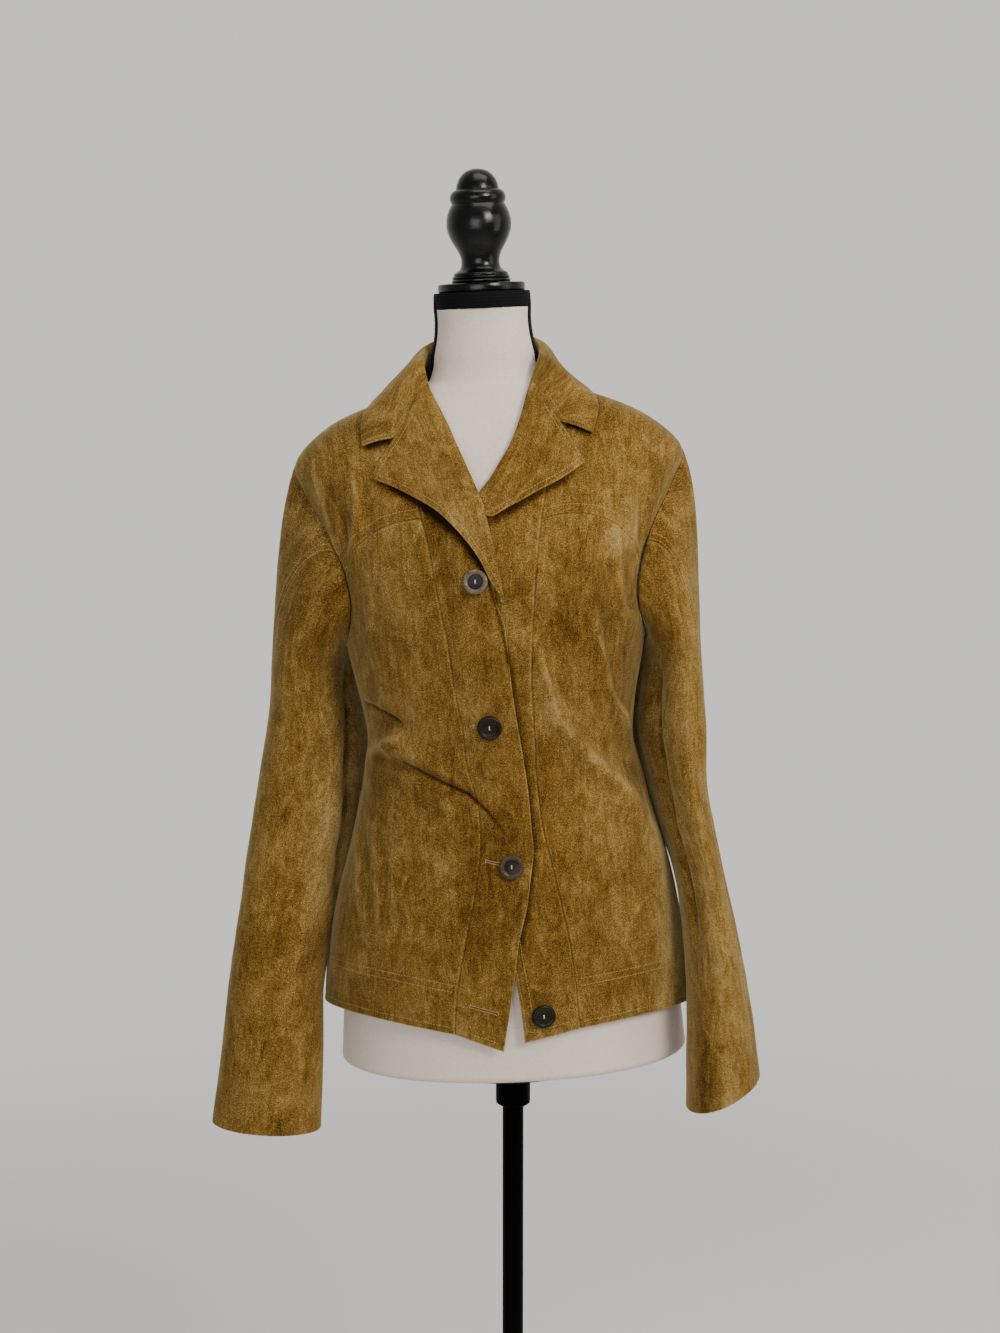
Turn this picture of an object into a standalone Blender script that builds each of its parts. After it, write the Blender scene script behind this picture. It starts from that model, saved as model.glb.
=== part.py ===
"""A corduroy blazer worn on a limbless dress form, on a round stand.

The blazer is a set of thin walls. Every body panel is a patch on one smooth body surface, bounded by
seams that neighbouring panels share; sleeves, lapels and collar are swept from short tables of their
own sections. The form's torso is the same body surface, set inwards, so the jacket hangs on its
shoulders. Everything above the stand leans a little towards -X about the top of the pole.

Frame: metres, +Z up, the front faces -Y, the origin is on the floor under the middle of the stand.
Tables are in millimetres and degrees, and each names its columns.
"""

import math

import bmesh
import bpy
import numpy as np

MM = 0.001

# ---- Driving sizes, metres ---------------------------------------------------------------------
CLOTH = 0.0016           # wall of a body or sleeve panel
FACED = 0.0022           # wall of a lapel or the collar: two cloths and their canvas
SEAM_GAP = 0.0003        # between pieces that are sewn or rest on each other
RING_POWER = 2.2         # superellipse power of a horizontal ring, 2 is an ellipse

LEAN = math.radians(2.4)  # of the form, towards -X
LEAN_HEIGHT = 0.72        # where the leaning part starts

ARMPIT = 1.132           # height of the side seam's top
SHOULDER_TIP = 1.322     # height of the shoulder seam's outer end
SEAM_POINT = 1.3765      # height at which a front's long seam meets the shoulder seam
NECK_POINT = 1.3845      # height of the shoulder seam's inner end
BACK_HEM = 0.756
BACK_NECK = 1.391

LAP_LIFT = 0.0026        # how far the front that lies on top stands off the one under it
LAP_LIFT_TOP = 0.0085    # the same just below the opening, where a lapel lies between them
LAP_RUN = 0.030          # the front on top rises to that lift over this much cloth
LAP_FROM, LAP_OPENS, LAP_ENDS = 0.775, 1.185, 1.345  # heights: lap starts, lapel starts, lap ends
ROLL_INSET = 0.0052      # from a lapel's roll to the edge of the front it turns back from
LAPEL_REST = 0.0021      # middle of a lapel's wall above the front it lies on, at its edge
GORGE_GAP = 0.0010       # across and up, between a lapel's top and the collar

BUTTON_RADIUS = 0.012
BUTTON_THICK = 0.0042
SHANK_RADIUS = 0.003
SHANK_HEIGHT = 0.0009    # of thread, behind a button

POLE_RADIUS = 0.011
POLE_TOP = 0.640
SOCKET_TOP = 0.6977
TORSO_BOTTOM = 0.706

# ---- The body surface: horizontal rings of the jacket's outside ---------------------------------
BODY_COLUMNS = ("height", "half_width", "front", "back")
BODY_RINGS = [
    (700, 192, 131, 128),
    (754, 187, 130, 126),
    (800, 182, 129, 124),
    (850, 175.5, 127, 121),
    (900, 165.5, 124, 116),
    (950, 152, 120, 108),
    (1000, 141, 117, 100),
    (1030, 134.5, 117, 97),
    (1060, 136.5, 121, 98),
    (1100, 144, 127, 103),
    (1140, 151, 132, 108),
    (1180, 157, 134, 112),
    (1220, 165, 130, 114),
    (1260, 176, 118, 110),
    (1290, 186, 102, 101),
    (1315, 193, 89, 90),
    (1340, 174, 77, 77),
    (1357, 149, 68.5, 70),
    (1370, 118, 62.5, 66),
    (1380, 90, 58, 63.5),
    (1391, 70, 55, 62),
]

# Round an armhole: 180 at the shoulder tip, 90 at the front, 0 at the armpit, -90 at the back.
ARMHOLE_COLUMNS = ("around", "angle", "height")
ARMHOLE = [
    (-180, 90, 1322),
    (-150, 101, 1285),
    (-120, 109, 1248),
    (-90, 111, 1208),
    (-60, 109, 1172),
    (-30, 104, 1147),
    (0, 90, 1132),
    (30, 74, 1148),
    (60, 64, 1175),
    (90, 62, 1208),
    (120, 66.5, 1250),
    (150, 77, 1284),
    (180, 90, 1322),
]
YOKE_AT = 93             # where the chest seam meets the armhole, degrees round it
SLEEVE_SEAM_AT = 107     # where the sleeve's front seam meets it
HIND_SEAM_AT = -36       # where the sleeve's hind seam meets it

# ---- The fronts: each line by height, x across ----------------------------------------------------
# "right" is the wearer's right, at -X, and lies on top.
LINE_COLUMNS = ("height", "x")
FRONT_EDGE = {
    "right": [(742, -9), (795, 1), (824, 6), (854, 11), (888, 20), (913, 24), (942, 28), (961, 27),
              (1001, 25), (1031, 22), (1071, 17), (1112, 13), (1154, 10.5), (1167, 9.2)],
    "left": [(750, 12), (789, 9), (824, 4), (860, 0), (927, -6), (1000, -14), (1066, -21),
             (1207, -26), (1250, -23)],
}
ROLL_LINE = {
    "right": [(1188, 7.3), (1202, 6), (1223, 3), (1240, 0), (1257, -3.5), (1270, -6.5), (1287, -12.5),
              (1303, -19), (1330, -29), (1354, -39), (1377, -50), (1386, -54)],
    "left": [(1268, -19), (1279, -13), (1288, -8), (1300, 2), (1313, 11), (1331, 22), (1354, 32),
             (1377, 40), (1388, 44)],
}
LAPEL_EDGE = {
    "right": [(-0.6, 1187), (-1.6, 1197), (-3.4, 1208), (-9, 1222), (-28.5, 1250), (-47, 1268),
              (-66, 1282), (-93, 1297), (-114, 1305)],
    "left": [(-12, 1257), (-3, 1263), (14, 1272), (29, 1279), (48, 1288), (68, 1297), (92, 1312)],
}
# The notch: the gorge seam runs from the roll's top to it, and lapel and collar part there.
NOTCH = {"right": (-89, 1341), "left": (70, 1349)}
COLLAR_POINT = {"right": (-121, 1334), "left": (101, 1338)}
PRINCESS = {
    "right": [(760, -56), (795, -53), (846, -43), (895, -31), (924, -25.5), (964, -22), (996, -25),
              (1023, -32), (1063, -35), (1103, -41), (1152, -46), (1200, -54), (1256, -63),
              (1267, -66), (1300, -70), (1340, -76), (1362, -84), (1371, -92), (1375, -98)],
    "left": [(761, 67.5), (800, 65), (840, 61.5), (874, 56), (924, 46), (964, 38.5), (1000, 35),
             (1050, 34), (1144, 34.5), (1178, 38), (1216, 42), (1252, 47), (1263, 49),
             (1300, 57), (1340, 69), (1362, 82), (1371, 91), (1375, 98)],
}
YOKE_JOINT = {"right": 1.267, "left": 1.263}
YOKE_BOW = {"right": 0.013, "left": 0.021}
SIDE_HEM = {"right": 0.762, "left": 0.750}
HEM_RISE = {"right": 0.010, "left": 0.007}   # of a side front's hem between its two seams
SIDE_SIGN = {"right": -1, "left": 1}

# ---- The largest folds: soft ridges (+) and troughs (-), seen from the front -----------------------
FOLD_COLUMNS = ("x0", "z0", "x1", "z1", "width", "rise")
BODY_FOLDS = [
    (-128, 1030, -78, 1016, 6, -5.0),
    (-78, 1016, -26, 994, 5, -3.6),
    (-120, 1045, -72, 1033, 8, 2.4),
    (-134, 1070, -92, 1062, 6, -2.6),
    (-94, 1056, -136, 992, 9, 2.2),
    (-101, 1200, -107, 1092, 11, 1.8),
    (33, 1156, 60, 1066, 8, 2.6),
    (60, 1066, 118, 990, 8, 3.2),
    (118, 990, 158, 900, 10, 2.6),
    (72, 1010, 120, 945, 10, -2.0),
    (92, 1200, 108, 1100, 9, 2.0),
    (108, 1100, 134, 1010, 9, 1.8),
]

# ---- Sleeves: one row for each horizontal section --------------------------------------------------
# Columns: height, inner_x, outer_x, middle_y, half_depth, outer_rise (of the outer side over the inner),
# inner_back (how far back the inner side is tucked, beside and behind the body).
SLEEVE_SECTIONS = {
    "right": [
        (1118, 147, 227, -4, 64, 0, 36),
        (1084, 144, 230, -8, 61, 0, 54),
        (1030, 135, 241, -13, 56, 0, 64),
        (982, 142, 251, -19, 51, 0, 62),
        (920, 157.5, 263, -28, 45, 0, 56),
        (860, 174, 275, -37, 41, 0, 42),
        (790, 190, 288, -46, 38, 0, 16),
        (715, 194, 299.5, -53, 35, 4, 0),
        (650, 200, 311.5, -58, 33, 12, 0),
    ],
    "left": [
        (1118, 145, 206, -8, 64, 0, 38),
        (1076, 138, 206, -20, 61, 0, 62),
        (1030, 132, 207, -32, 58, 0, 80),
        (985, 143.5, 205, -41, 55, 0, 74),
        (945, 155, 210, -48, 54, 0, 62),
        (895, 170, 218, -58, 54, 0, 38),
        (830, 176, 230, -68, 53, 0, 14),
        (755, 175, 239, -76, 51, 12, 0),
        (676, 172, 247, -80, 49, 33, 0),
    ],
}
# The front seam's place round the sleeve, by row of the table above (row 0 is the armhole).
SEAM_COLUMNS = ("row", "around")
SLEEVE_SEAM = {
    "right": [(0, 107), (0.5, 140), (1, 172), (2, 184), (4, 190), (9, 192)],
    "left": [(0, 107), (0.5, 128), (1, 142), (2, 148), (4, 152), (9, 150)],
}
# Folds on a sleeve: degrees round it and heights of both ends.
SLEEVE_FOLD_COLUMNS = ("around0", "height0", "around1", "height1", "width", "rise")
PER_DEGREE = 0.00085      # length round a sleeve of one degree
SLEEVE_FOLDS = {
    "right": [(58, 1000, 63, 840, 14, 3.0), (63, 840, 70, 730, 14, 2.4), (70, 1085, 150, 1060, 11, -3.0),
              (28, 1118, 50, 1030, 9, -3.6), (50, 1030, 46, 960, 9, -3.6), (46, 960, 26, 870, 9, -3.0),
              (66, 1030, 120, 985, 10, -2.2), (-60, 1050, -140, 1000, 12, -3.0)],
    "left": [(60, 1105, 72, 1030, 9, -4.0), (72, 1030, 67, 960, 9, -4.0), (67, 960, 50, 830, 9, -3.2),
             (104, 1050, 110, 900, 12, 2.4), (120, 880, 132, 700, 11, 2.0),
             (-60, 1050, -130, 990, 12, -3.0)],
}

# ---- The collar: sections from a front end round to the middle of the back --------------------------
# Each point is x, y, z, with x away from the middle. "base" is the neck seam, "fold" the top. The first
# section isn't here: it lies on the front, along the gorge. Columns: base, inner, fold, outer, middle, edge.
COLLAR_SECTIONS = {
    "right": [
        ((72, -27, 1384), (60, -31, 1405), (60, -34, 1410), (64, -38, 1408), (97, -48, 1381), (122, -49, 1358)),
        ((84, 0, 1386), (55.5, -1, 1420), (57, -2, 1424.5), (60.5, -3, 1423), (82.5, -4, 1403), (101.5, -4, 1384)),
        ((62, 38, 1388), (45, 35, 1427), (46, 37, 1431.5), (50, 40, 1430), (72, 50, 1403), (86, 54, 1376)),
        ((32, 60, 1391), (23, 55, 1430), (23.5, 57.5, 1434.5), (25.5, 61.5, 1433), (34, 74, 1404), (39, 79, 1372)),
    ],
    "left": [
        ((66, -29, 1385), (53, -34, 1407), (53, -37, 1412), (57, -41, 1410), (85, -50, 1383), (108, -52, 1361)),
        ((84, 0, 1386), (53.5, -1, 1420), (54.8, -2, 1424.2), (58, -3, 1422.7), (73.5, -4, 1404), (95.5, -4, 1383)),
        ((62, 38, 1388), (45, 35, 1427), (46, 37, 1431.5), (50, 40, 1430), (71, 50, 1403), (84, 54, 1376)),
        ((32, 60, 1391), (23, 55, 1430), (23.5, 57.5, 1434.5), (25.5, 61.5, 1433), (34, 74, 1404), (39, 79, 1372)),
    ],
}
COLLAR_BACK = ((0, 64, 1392), (0, 60, 1431), (0, 62.5, 1435.5), (0, 67, 1434), (0, 80, 1404), (0, 85, 1371))

# ---- Buttons and the dress form ---------------------------------------------------------------------
# Columns: x, height, the front that it lies on.
BUTTON_PLACES = [(-16, 1207, "right"), (-9, 1066, "right"), (6, 927, "right"), (31, 777, "left")]

# The form's neck. Columns: height, half_width, front, back.
NECK_RINGS = [
    (1386, 71, 52, 57),
    (1391, 61, 49.5, 55),
    (1402, 54, 47, 50),
    (1418, 51, 46, 47.5),
    (1436, 47.2, 45, 45.5),
    (1452, 46, 44.5, 45),
    (1462, 46.5, 45, 45),
]
# How far the form lies inside the jacket's outer face, by height.
INSET_COLUMNS = ("height", "inset")
FORM_INSET = [(700, 13), (800, 12), (900, 10), (1000, 9), (1100, 8), (1200, 6.5), (1280, 5),
              (1310, 3.6), (1340, 3.4), (1400, 3.4)]
ARM_PLATE = 0.168        # the form's shoulders end flat at this distance from the middle

# Turned finial: radius, height
FINIAL = [(26.5, 1487.0), (29, 1489), (29, 1493), (26.5, 1496.5), (20.5, 1500.5),
          (18.6, 1507), (19.6, 1513), (24, 1521), (29.5, 1531), (32, 1542), (31.6, 1549), (29, 1557),
          (26.2, 1562.5), (26, 1565), (27.4, 1568), (27.2, 1572), (24.5, 1575.5), (21.5, 1577.5),
          (20.5, 1581), (17.5, 1588.5), (12, 1593.8), (5.5, 1596.2), (1.5, 1596.7)]

# ---- Colours ------------------------------------------------------------------------------------------
CORD_BROWN = (0.178, 0.086, 0.023)
HORN = (0.035, 0.030, 0.028)
LINEN = (0.52, 0.46, 0.40)
BLACK_WOOD = (0.012, 0.011, 0.010)
IRON = (0.030, 0.030, 0.032)


# ==== Curves and surfaces ================================================================================

def smooth_curve(places, values):
    """A smooth function through the given values (Hermite pieces with parabolic slopes)."""
    places = np.asarray(places, float)
    values = np.asarray(values, float)
    step = np.diff(places)
    rate = np.diff(values) / step
    slope = np.empty_like(values)
    slope[1:-1] = (rate[:-1] * step[1:] + rate[1:] * step[:-1]) / (step[1:] + step[:-1])
    slope[0], slope[-1] = rate[0], rate[-1]

    def value(place):
        place = np.asarray(place, float)
        k = np.clip(np.searchsorted(places, place) - 1, 0, len(step) - 1)
        t = np.clip((place - places[k]) / step[k], 0.0, 1.0)
        return hermite(values[k], slope[k] * step[k], values[k + 1], slope[k + 1] * step[k], t)

    return value


def hermite(start, start_slope, end, end_slope, t):
    return ((2 * t**3 - 3 * t**2 + 1) * start + (t**3 - 2 * t**2 + t) * start_slope
            + (3 * t**2 - 2 * t**3) * end + (t**3 - t**2) * end_slope)


def column(table, columns, name):
    return np.array([row[columns.index(name)] for row in table], float)


def by_height(table, columns, name):
    """One column of a table in millimetres as a smooth function of height in metres."""
    return smooth_curve(column(table, columns, "height") * MM, column(table, columns, name) * MM)


def ease(value):
    value = np.clip(value, 0.0, 1.0)
    return value * value * (3 - 2 * value)


def unit(vectors):
    return vectors / np.maximum(np.linalg.norm(vectors, axis=-1, keepdims=True), 1e-12)


def along(points, fractions):
    """Points at the given fractions of the length of a smooth line through the given points."""
    points = np.asarray(points, float)
    gone = np.concatenate([[0.0], np.cumsum(np.linalg.norm(np.diff(points, axis=0), axis=1))])
    axes = [smooth_curve(gone / gone[-1], points[:, k])(fractions) for k in range(points.shape[1])]
    return np.stack(axes, axis=-1)


HALF_WIDTH = by_height(BODY_RINGS, BODY_COLUMNS, "half_width")
FRONT_DEPTH = by_height(BODY_RINGS, BODY_COLUMNS, "front")
BACK_DEPTH = by_height(BODY_RINGS, BODY_COLUMNS, "back")


def ring_point(angle, height, half_width, front, back):
    """Point of a ring: angle 0 is the front middle, 90 degrees the +X side."""
    turn_x, turn_y = np.sin(angle), np.cos(angle)
    depth = np.where(turn_y > 0, front, back)
    reach = np.maximum(1 - np.abs(turn_x) ** RING_POWER, 0.0) ** (1 / RING_POWER)
    x = half_width * turn_x
    return np.stack([x, -np.sign(turn_y) * depth * reach, height + 0 * x], axis=-1)


def body_point(angle, height):
    return ring_point(angle, height, HALF_WIDTH(height), FRONT_DEPTH(height), BACK_DEPTH(height))


def body_normal(angle, height):
    turn, rise = 0.02, 0.002
    across = body_point(angle + turn, height) - body_point(angle - turn, height)
    up = body_point(angle, height + rise) - body_point(angle, height - rise)
    return unit(np.cross(across, up))


def on_body(angle, height, lift=0.0):
    return body_point(angle, height) + body_normal(angle, height) * np.asarray(lift)[..., None]


def front_angle(x, height):
    """The angle at which the front of the ring at this height reaches x."""
    return np.arcsin(np.clip(x / HALF_WIDTH(height), -1.0, 1.0))


def from_front(line, lift=0.0):
    """Points over the front of the body, from rows of x and height."""
    x, height = line[..., 0], line[..., 1]
    return on_body(front_angle(x, height), height, lift)


def segment_relief(across, up, folds, columns):
    """Sum of soft ridges and troughs, each along one straight run, fading at its ends."""
    total = np.zeros(np.broadcast(across, up).shape)
    for row in folds:
        x0, z0, x1, z1, width, rise = (row[columns.index(name)] * MM for name in columns)
        length = math.hypot(x1 - x0, z1 - z0)
        run = ((across - x0) * (x1 - x0) + (up - z0) * (z1 - z0)) / length**2
        off = ((across - x0) * (z1 - z0) - (up - z0) * (x1 - x0)) / length
        fade = ease((run + 0.15) / 0.35) * ease((1.15 - run) / 0.35)
        total += rise * fade * np.exp(-(off / width) ** 2)
    return total


def body_relief(angle, height):
    """How far the largest folds move the cloth in or out, on the front and, turned, on the back."""
    x = HALF_WIDTH(height) * np.sin(angle)
    front = np.cos(angle) > 0
    seen = np.where(front, x, -x)
    near_side = ease((np.abs(np.cos(angle)) - 0.05) / 0.25)
    return segment_relief(seen, height, BODY_FOLDS, FOLD_COLUMNS) * near_side * np.where(front, 1.0, 0.7)


# ==== Seams ==============================================================================================

ARMHOLE_ANGLE = smooth_curve(column(ARMHOLE, ARMHOLE_COLUMNS, "around"),
                             np.radians(column(ARMHOLE, ARMHOLE_COLUMNS, "angle")))
ARMHOLE_HEIGHT = smooth_curve(column(ARMHOLE, ARMHOLE_COLUMNS, "around"),
                              column(ARMHOLE, ARMHOLE_COLUMNS, "height") * MM)

SIDE_CELLS = 12
LOW_ARM = np.linspace(0, YOKE_AT, 6)
HIGH_ARM = np.concatenate([[YOKE_AT], np.linspace(SLEEVE_SEAM_AT, 180, 7)])
BACK_ARM = np.linspace(0, -180, 11)
SHOULDER_CELLS = 8
CENTRE_CELLS = 4
NECKLINE_CELLS = 3


def armhole(around, sign):
    return np.stack([sign * ARMHOLE_ANGLE(around), ARMHOLE_HEIGHT(around)], axis=-1)


def side_seam(side):
    height = np.linspace(SIDE_HEM[side], ARMPIT, SIDE_CELLS + 1)
    return np.stack([np.full_like(height, SIDE_SIGN[side] * math.pi / 2), height], axis=-1)


def shoulder_seam(sign, low, high, cells):
    height = np.linspace(low, high, cells + 1)
    return even(np.stack([np.full_like(height, sign * math.pi / 2), height], axis=-1), cells)


def even(line, cells):
    """A line of angle and height, divided into equal lengths over the body."""
    fine = np.stack([np.interp(np.linspace(0, len(line) - 1, 400), np.arange(len(line)), line[:, k])
                     for k in range(2)], axis=-1)
    place = body_point(fine[:, 0], fine[:, 1])
    gone = np.concatenate([[0.0], np.cumsum(np.linalg.norm(np.diff(place, axis=0), axis=1))])
    at = np.linspace(0, gone[-1], cells + 1)
    return np.stack([np.interp(at, gone, fine[:, k]) for k in range(2)], axis=-1)


def seam_line(line, low, high):
    """Angle and height along a line of the fronts, closely spaced."""
    height = np.linspace(low, high, 60)
    x = by_height(line, LINE_COLUMNS, "x")(height)
    return np.stack([front_angle(x, height), height], axis=-1)


def princess_low(side):
    low = PRINCESS[side][0][0] * MM
    return even(seam_line(PRINCESS[side], low, YOKE_JOINT[side]), SIDE_CELLS + len(LOW_ARM) - 1)


def princess_high(side):
    line = seam_line(PRINCESS[side], YOKE_JOINT[side], PRINCESS[side][-1][0] * MM)
    neck = np.array([[SIDE_SIGN[side] * math.pi / 2, SEAM_POINT]])
    return even(np.concatenate([line, neck]), len(HIGH_ARM) - 1)


def patch(inner, outer, cells, bow_low=0.0, bow_high=0.0):
    """Grid of angle and height between two seams, its first and last rows bowed up or down."""
    run = np.linspace(0, 1, cells + 1)[None, :, None]
    grid = inner[:, None, :] * (1 - run) + outer[:, None, :] * run
    row = np.linspace(0, 1, len(inner))[:, None]
    arch = 4 * run[..., 0] * (1 - run[..., 0])
    grid[..., 1] += arch * (bow_high * row**6 + bow_low * (1 - row) ** 4)
    return grid


def left_edge(height):
    return by_height(FRONT_EDGE["left"], LINE_COLUMNS, "x")(height)


def lap_lift(x, height):
    """How far the wearer's right front stands off the body where it lies over the left one."""
    seam = by_height(PRINCESS["right"], LINE_COLUMNS, "x")(height)
    under = left_edge(np.clip(height, 0.75, 1.25))
    start = np.maximum(seam + 0.001, under - LAP_RUN)
    reach = ease((x - start) / (under - 0.001 - start))
    lift = LAP_LIFT + (LAP_LIFT_TOP - LAP_LIFT) * ease((height - LAP_OPENS) / 0.055)
    return lift * reach * ease((height - LAP_FROM) / 0.05) * ease((LAP_ENDS - height) / 0.05)


# ==== Blender helpers ======================================================================================

def clear_scene():
    for thing in list(bpy.data.objects):
        bpy.data.objects.remove(thing, do_unlink=True)


def material(name, colour, roughness, metallic=0.0):
    made = bpy.data.materials.new(name)
    made.use_nodes = True
    shader = made.node_tree.nodes["Principled BSDF"]
    shader.inputs["Base Color"].default_value = (*colour, 1.0)
    shader.inputs["Roughness"].default_value = roughness
    shader.inputs["Metallic"].default_value = metallic
    return made


def leaned(points):
    """Points of the leaning part, turned about the top of the pole."""
    cos, sin = math.cos(LEAN), math.sin(LEAN)
    x, y, z = points[..., 0], points[..., 1], points[..., 2] - LEAN_HEIGHT
    return np.stack([cos * x - sin * z, y, sin * x + cos * z + LEAN_HEIGHT], axis=-1)


def solid(name, points, faces, finish, smooth=False):
    """One closed object, its faces turned outwards."""
    mesh = bpy.data.meshes.new(name)
    mesh.from_pydata([tuple(map(float, p)) for p in points], [], faces)
    work = bmesh.new()
    work.from_mesh(mesh)
    bmesh.ops.recalc_face_normals(work, faces=work.faces)
    if work.calc_volume(signed=True) < 0:
        bmesh.ops.reverse_faces(work, faces=work.faces)
    work.to_mesh(mesh)
    work.free()
    if smooth:
        mesh.shade_smooth()
    thing = bpy.data.objects.new(name, mesh)
    bpy.context.scene.collection.objects.link(thing)
    mesh.materials.append(finish)
    return thing


def inset_rim(grid, distance):
    """The outer ring of points of a grid moved towards its middle, so that sewn pieces clear."""
    moved = grid.copy()
    for rim, near in ((0, 1), (-1, -2)):
        moved[rim] += unit(grid[near] - grid[rim]) * distance
        moved[:, rim] += unit(grid[:, near] - grid[:, rim]) * distance
    return moved


def wall(name, outer, inner, finish):
    """A sheet with thickness: two equal grids of points, joined round their rims."""
    rows, cols = outer.shape[:2]
    outer, inner = inset_rim(outer, SEAM_GAP / 2), inset_rim(inner, SEAM_GAP / 2)
    points = np.concatenate([leaned(outer).reshape(-1, 3), leaned(inner).reshape(-1, 3)])
    place = np.arange(rows * cols).reshape(rows, cols)
    below = place + rows * cols
    faces = []
    for r in range(rows - 1):
        for c in range(cols - 1):
            near, over, far, down = (r, c), (r, c + 1), (r + 1, c + 1), (r + 1, c)
            # Both faces of the wall are cut along the same, shorter diagonal.
            if np.linalg.norm(outer[near] - outer[far]) <= np.linalg.norm(outer[over] - outer[down]):
                halves = (near, over, far), (near, far, down)
            else:
                halves = (near, over, down), (over, far, down)
            for half in halves:
                faces.append([int(place[p]) for p in half])
                faces.append([int(below[p]) for p in reversed(half)])
    rim = ([(0, c) for c in range(cols)] + [(r, cols - 1) for r in range(1, rows)]
           + [(rows - 1, c) for c in range(cols - 2, -1, -1)] + [(r, 0) for r in range(rows - 2, 0, -1)])
    for a, b in zip(rim, rim[1:] + rim[:1]):
        faces.append([int(place[b]), int(place[a]), int(below[a]), int(below[b])])
    return solid(name, points, faces, finish, smooth=True)


def rings_solid(name, rings, finish, lean=True):
    """A closed body through equal rings of points, with flat ends."""
    rows, cols = rings.shape[:2]
    points = rings.reshape(-1, 3)
    faces = [[int(c) for c in range(cols)], [int((rows - 1) * cols + c) for c in range(cols)][::-1]]
    for r in range(rows - 1):
        for c in range(cols):
            d = (c + 1) % cols
            faces.append([r * cols + c, r * cols + d, (r + 1) * cols + d, (r + 1) * cols + c])
    return solid(name, leaned(points) if lean else points, faces, finish, smooth=True)


def turned_rings(profile, sides):
    """Rings about the Z axis from rows of radius and height in millimetres."""
    turn = np.linspace(0, 2 * math.pi, sides, endpoint=False)
    return np.array([np.stack([r * MM * np.cos(turn), r * MM * np.sin(turn), 0 * turn + z * MM], axis=-1)
                     for r, z in profile])


def turned(name, profile, finish, sides=32, lean=True):
    return rings_solid(name, turned_rings(profile, sides), finish, lean)


# ==== The blazer ===========================================================================================

def body_panel(name, grid, finish, lift=0.0):
    """A panel on the body surface from its grid of angle and height, with the folds in it."""
    angle, height = grid[..., 0], grid[..., 1]
    rise = body_relief(angle, height) + lift
    outside = on_body(angle, height, rise)
    inside = on_body(angle, height, rise - CLOTH)
    return wall(name, outside, inside, finish)


def roll_rows(side, fractions):
    line = np.array([(x, z) for z, x in ROLL_LINE[side]], float) * MM
    return along(line, fractions)


def beside(line, distance):
    """A line of x and height moved sideways, to its left as it is walked."""
    walk = unit(np.gradient(line, axis=0))
    return line + np.stack([-walk[:, 1], walk[:, 0]], axis=-1) * distance


def centre_edge(side, cells):
    """The free edge of a centre front: its front edge, the lapel's roll, then the neckline."""
    sign = SIDE_SIGN[side]
    roll = beside(roll_rows(side, np.linspace(0, 0.97, 25)), -sign * ROLL_INSET)
    edge = np.array([(x, z) for z, x in FRONT_EDGE[side]], float) * MM
    roll = roll[roll[:, 1] > edge[-1, 1] + 0.012]
    line = np.concatenate([edge, roll])
    line = np.stack([front_angle(line[:, 0], line[:, 1]), line[:, 1]], axis=-1)
    joint = YOKE_JOINT[side]
    low = np.interp(joint, line[:, 1], line[:, 0])
    lower = np.concatenate([line[line[:, 1] < joint], [[low, joint]]])
    upper = np.concatenate([[[low, joint]], line[line[:, 1] > joint]])
    neckline = np.array([upper[-1], [sign * math.pi / 2, NECK_POINT]])
    high_cells = len(HIGH_ARM) - 1
    return np.concatenate([even(lower, cells - high_cells), even(upper, high_cells - NECKLINE_CELLS)[1:],
                           even(neckline, NECKLINE_CELLS)[1:]])


def fronts(side, finish):
    sign = SIDE_SIGN[side]
    low, high = princess_low(side), princess_high(side)
    seam = np.concatenate([low, high[1:]])
    centre = patch(seam, centre_edge(side, len(seam) - 1), CENTRE_CELLS)
    centre[-1] = shoulder_seam(sign, SEAM_POINT, NECK_POINT, CENTRE_CELLS)
    x = HALF_WIDTH(centre[..., 1]) * np.sin(centre[..., 0])
    lift = lap_lift(x, centre[..., 1]) if side == "right" else 0.0
    body_panel(f"front_centre_{side}", centre, finish, lift)

    outer = np.concatenate([side_seam(side), armhole(LOW_ARM, sign)[1:]])
    side_front = patch(low, outer, SHOULDER_CELLS, HEM_RISE[side], YOKE_BOW[side])
    body_panel(f"front_side_{side}", side_front, finish)

    # The yoke's first row is the chest seam, its last the shoulder seam.
    yoke = patch(high, armhole(HIGH_ARM, sign), SHOULDER_CELLS)
    share = np.linspace(1, 0, len(high))[:, None] ** 6
    run = np.linspace(0, 1, SHOULDER_CELLS + 1)[None, :]
    yoke[..., 1] += YOKE_BOW[side] * 4 * run * (1 - run) * share
    yoke[-1] = shoulder_seam(sign, SHOULDER_TIP, SEAM_POINT, SHOULDER_CELLS)[::-1]
    body_panel(f"front_yoke_{side}", yoke, finish)


def back(side, finish):
    sign = SIDE_SIGN[side]
    outer = np.concatenate([
        side_seam(side), armhole(BACK_ARM, sign)[1:],
        shoulder_seam(sign, SHOULDER_TIP, SEAM_POINT, SHOULDER_CELLS)[1:],
        shoulder_seam(sign, SEAM_POINT, NECK_POINT, CENTRE_CELLS)[1:]])
    height = np.interp(np.linspace(0, 1, len(outer)), [0, 0.4, 0.72, 1], [BACK_HEM, 1.13, 1.32, BACK_NECK])
    middle = np.stack([np.full_like(height, sign * math.pi), height], axis=-1)
    body_panel(f"back_{side}", patch(middle, outer, 7), finish)


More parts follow.
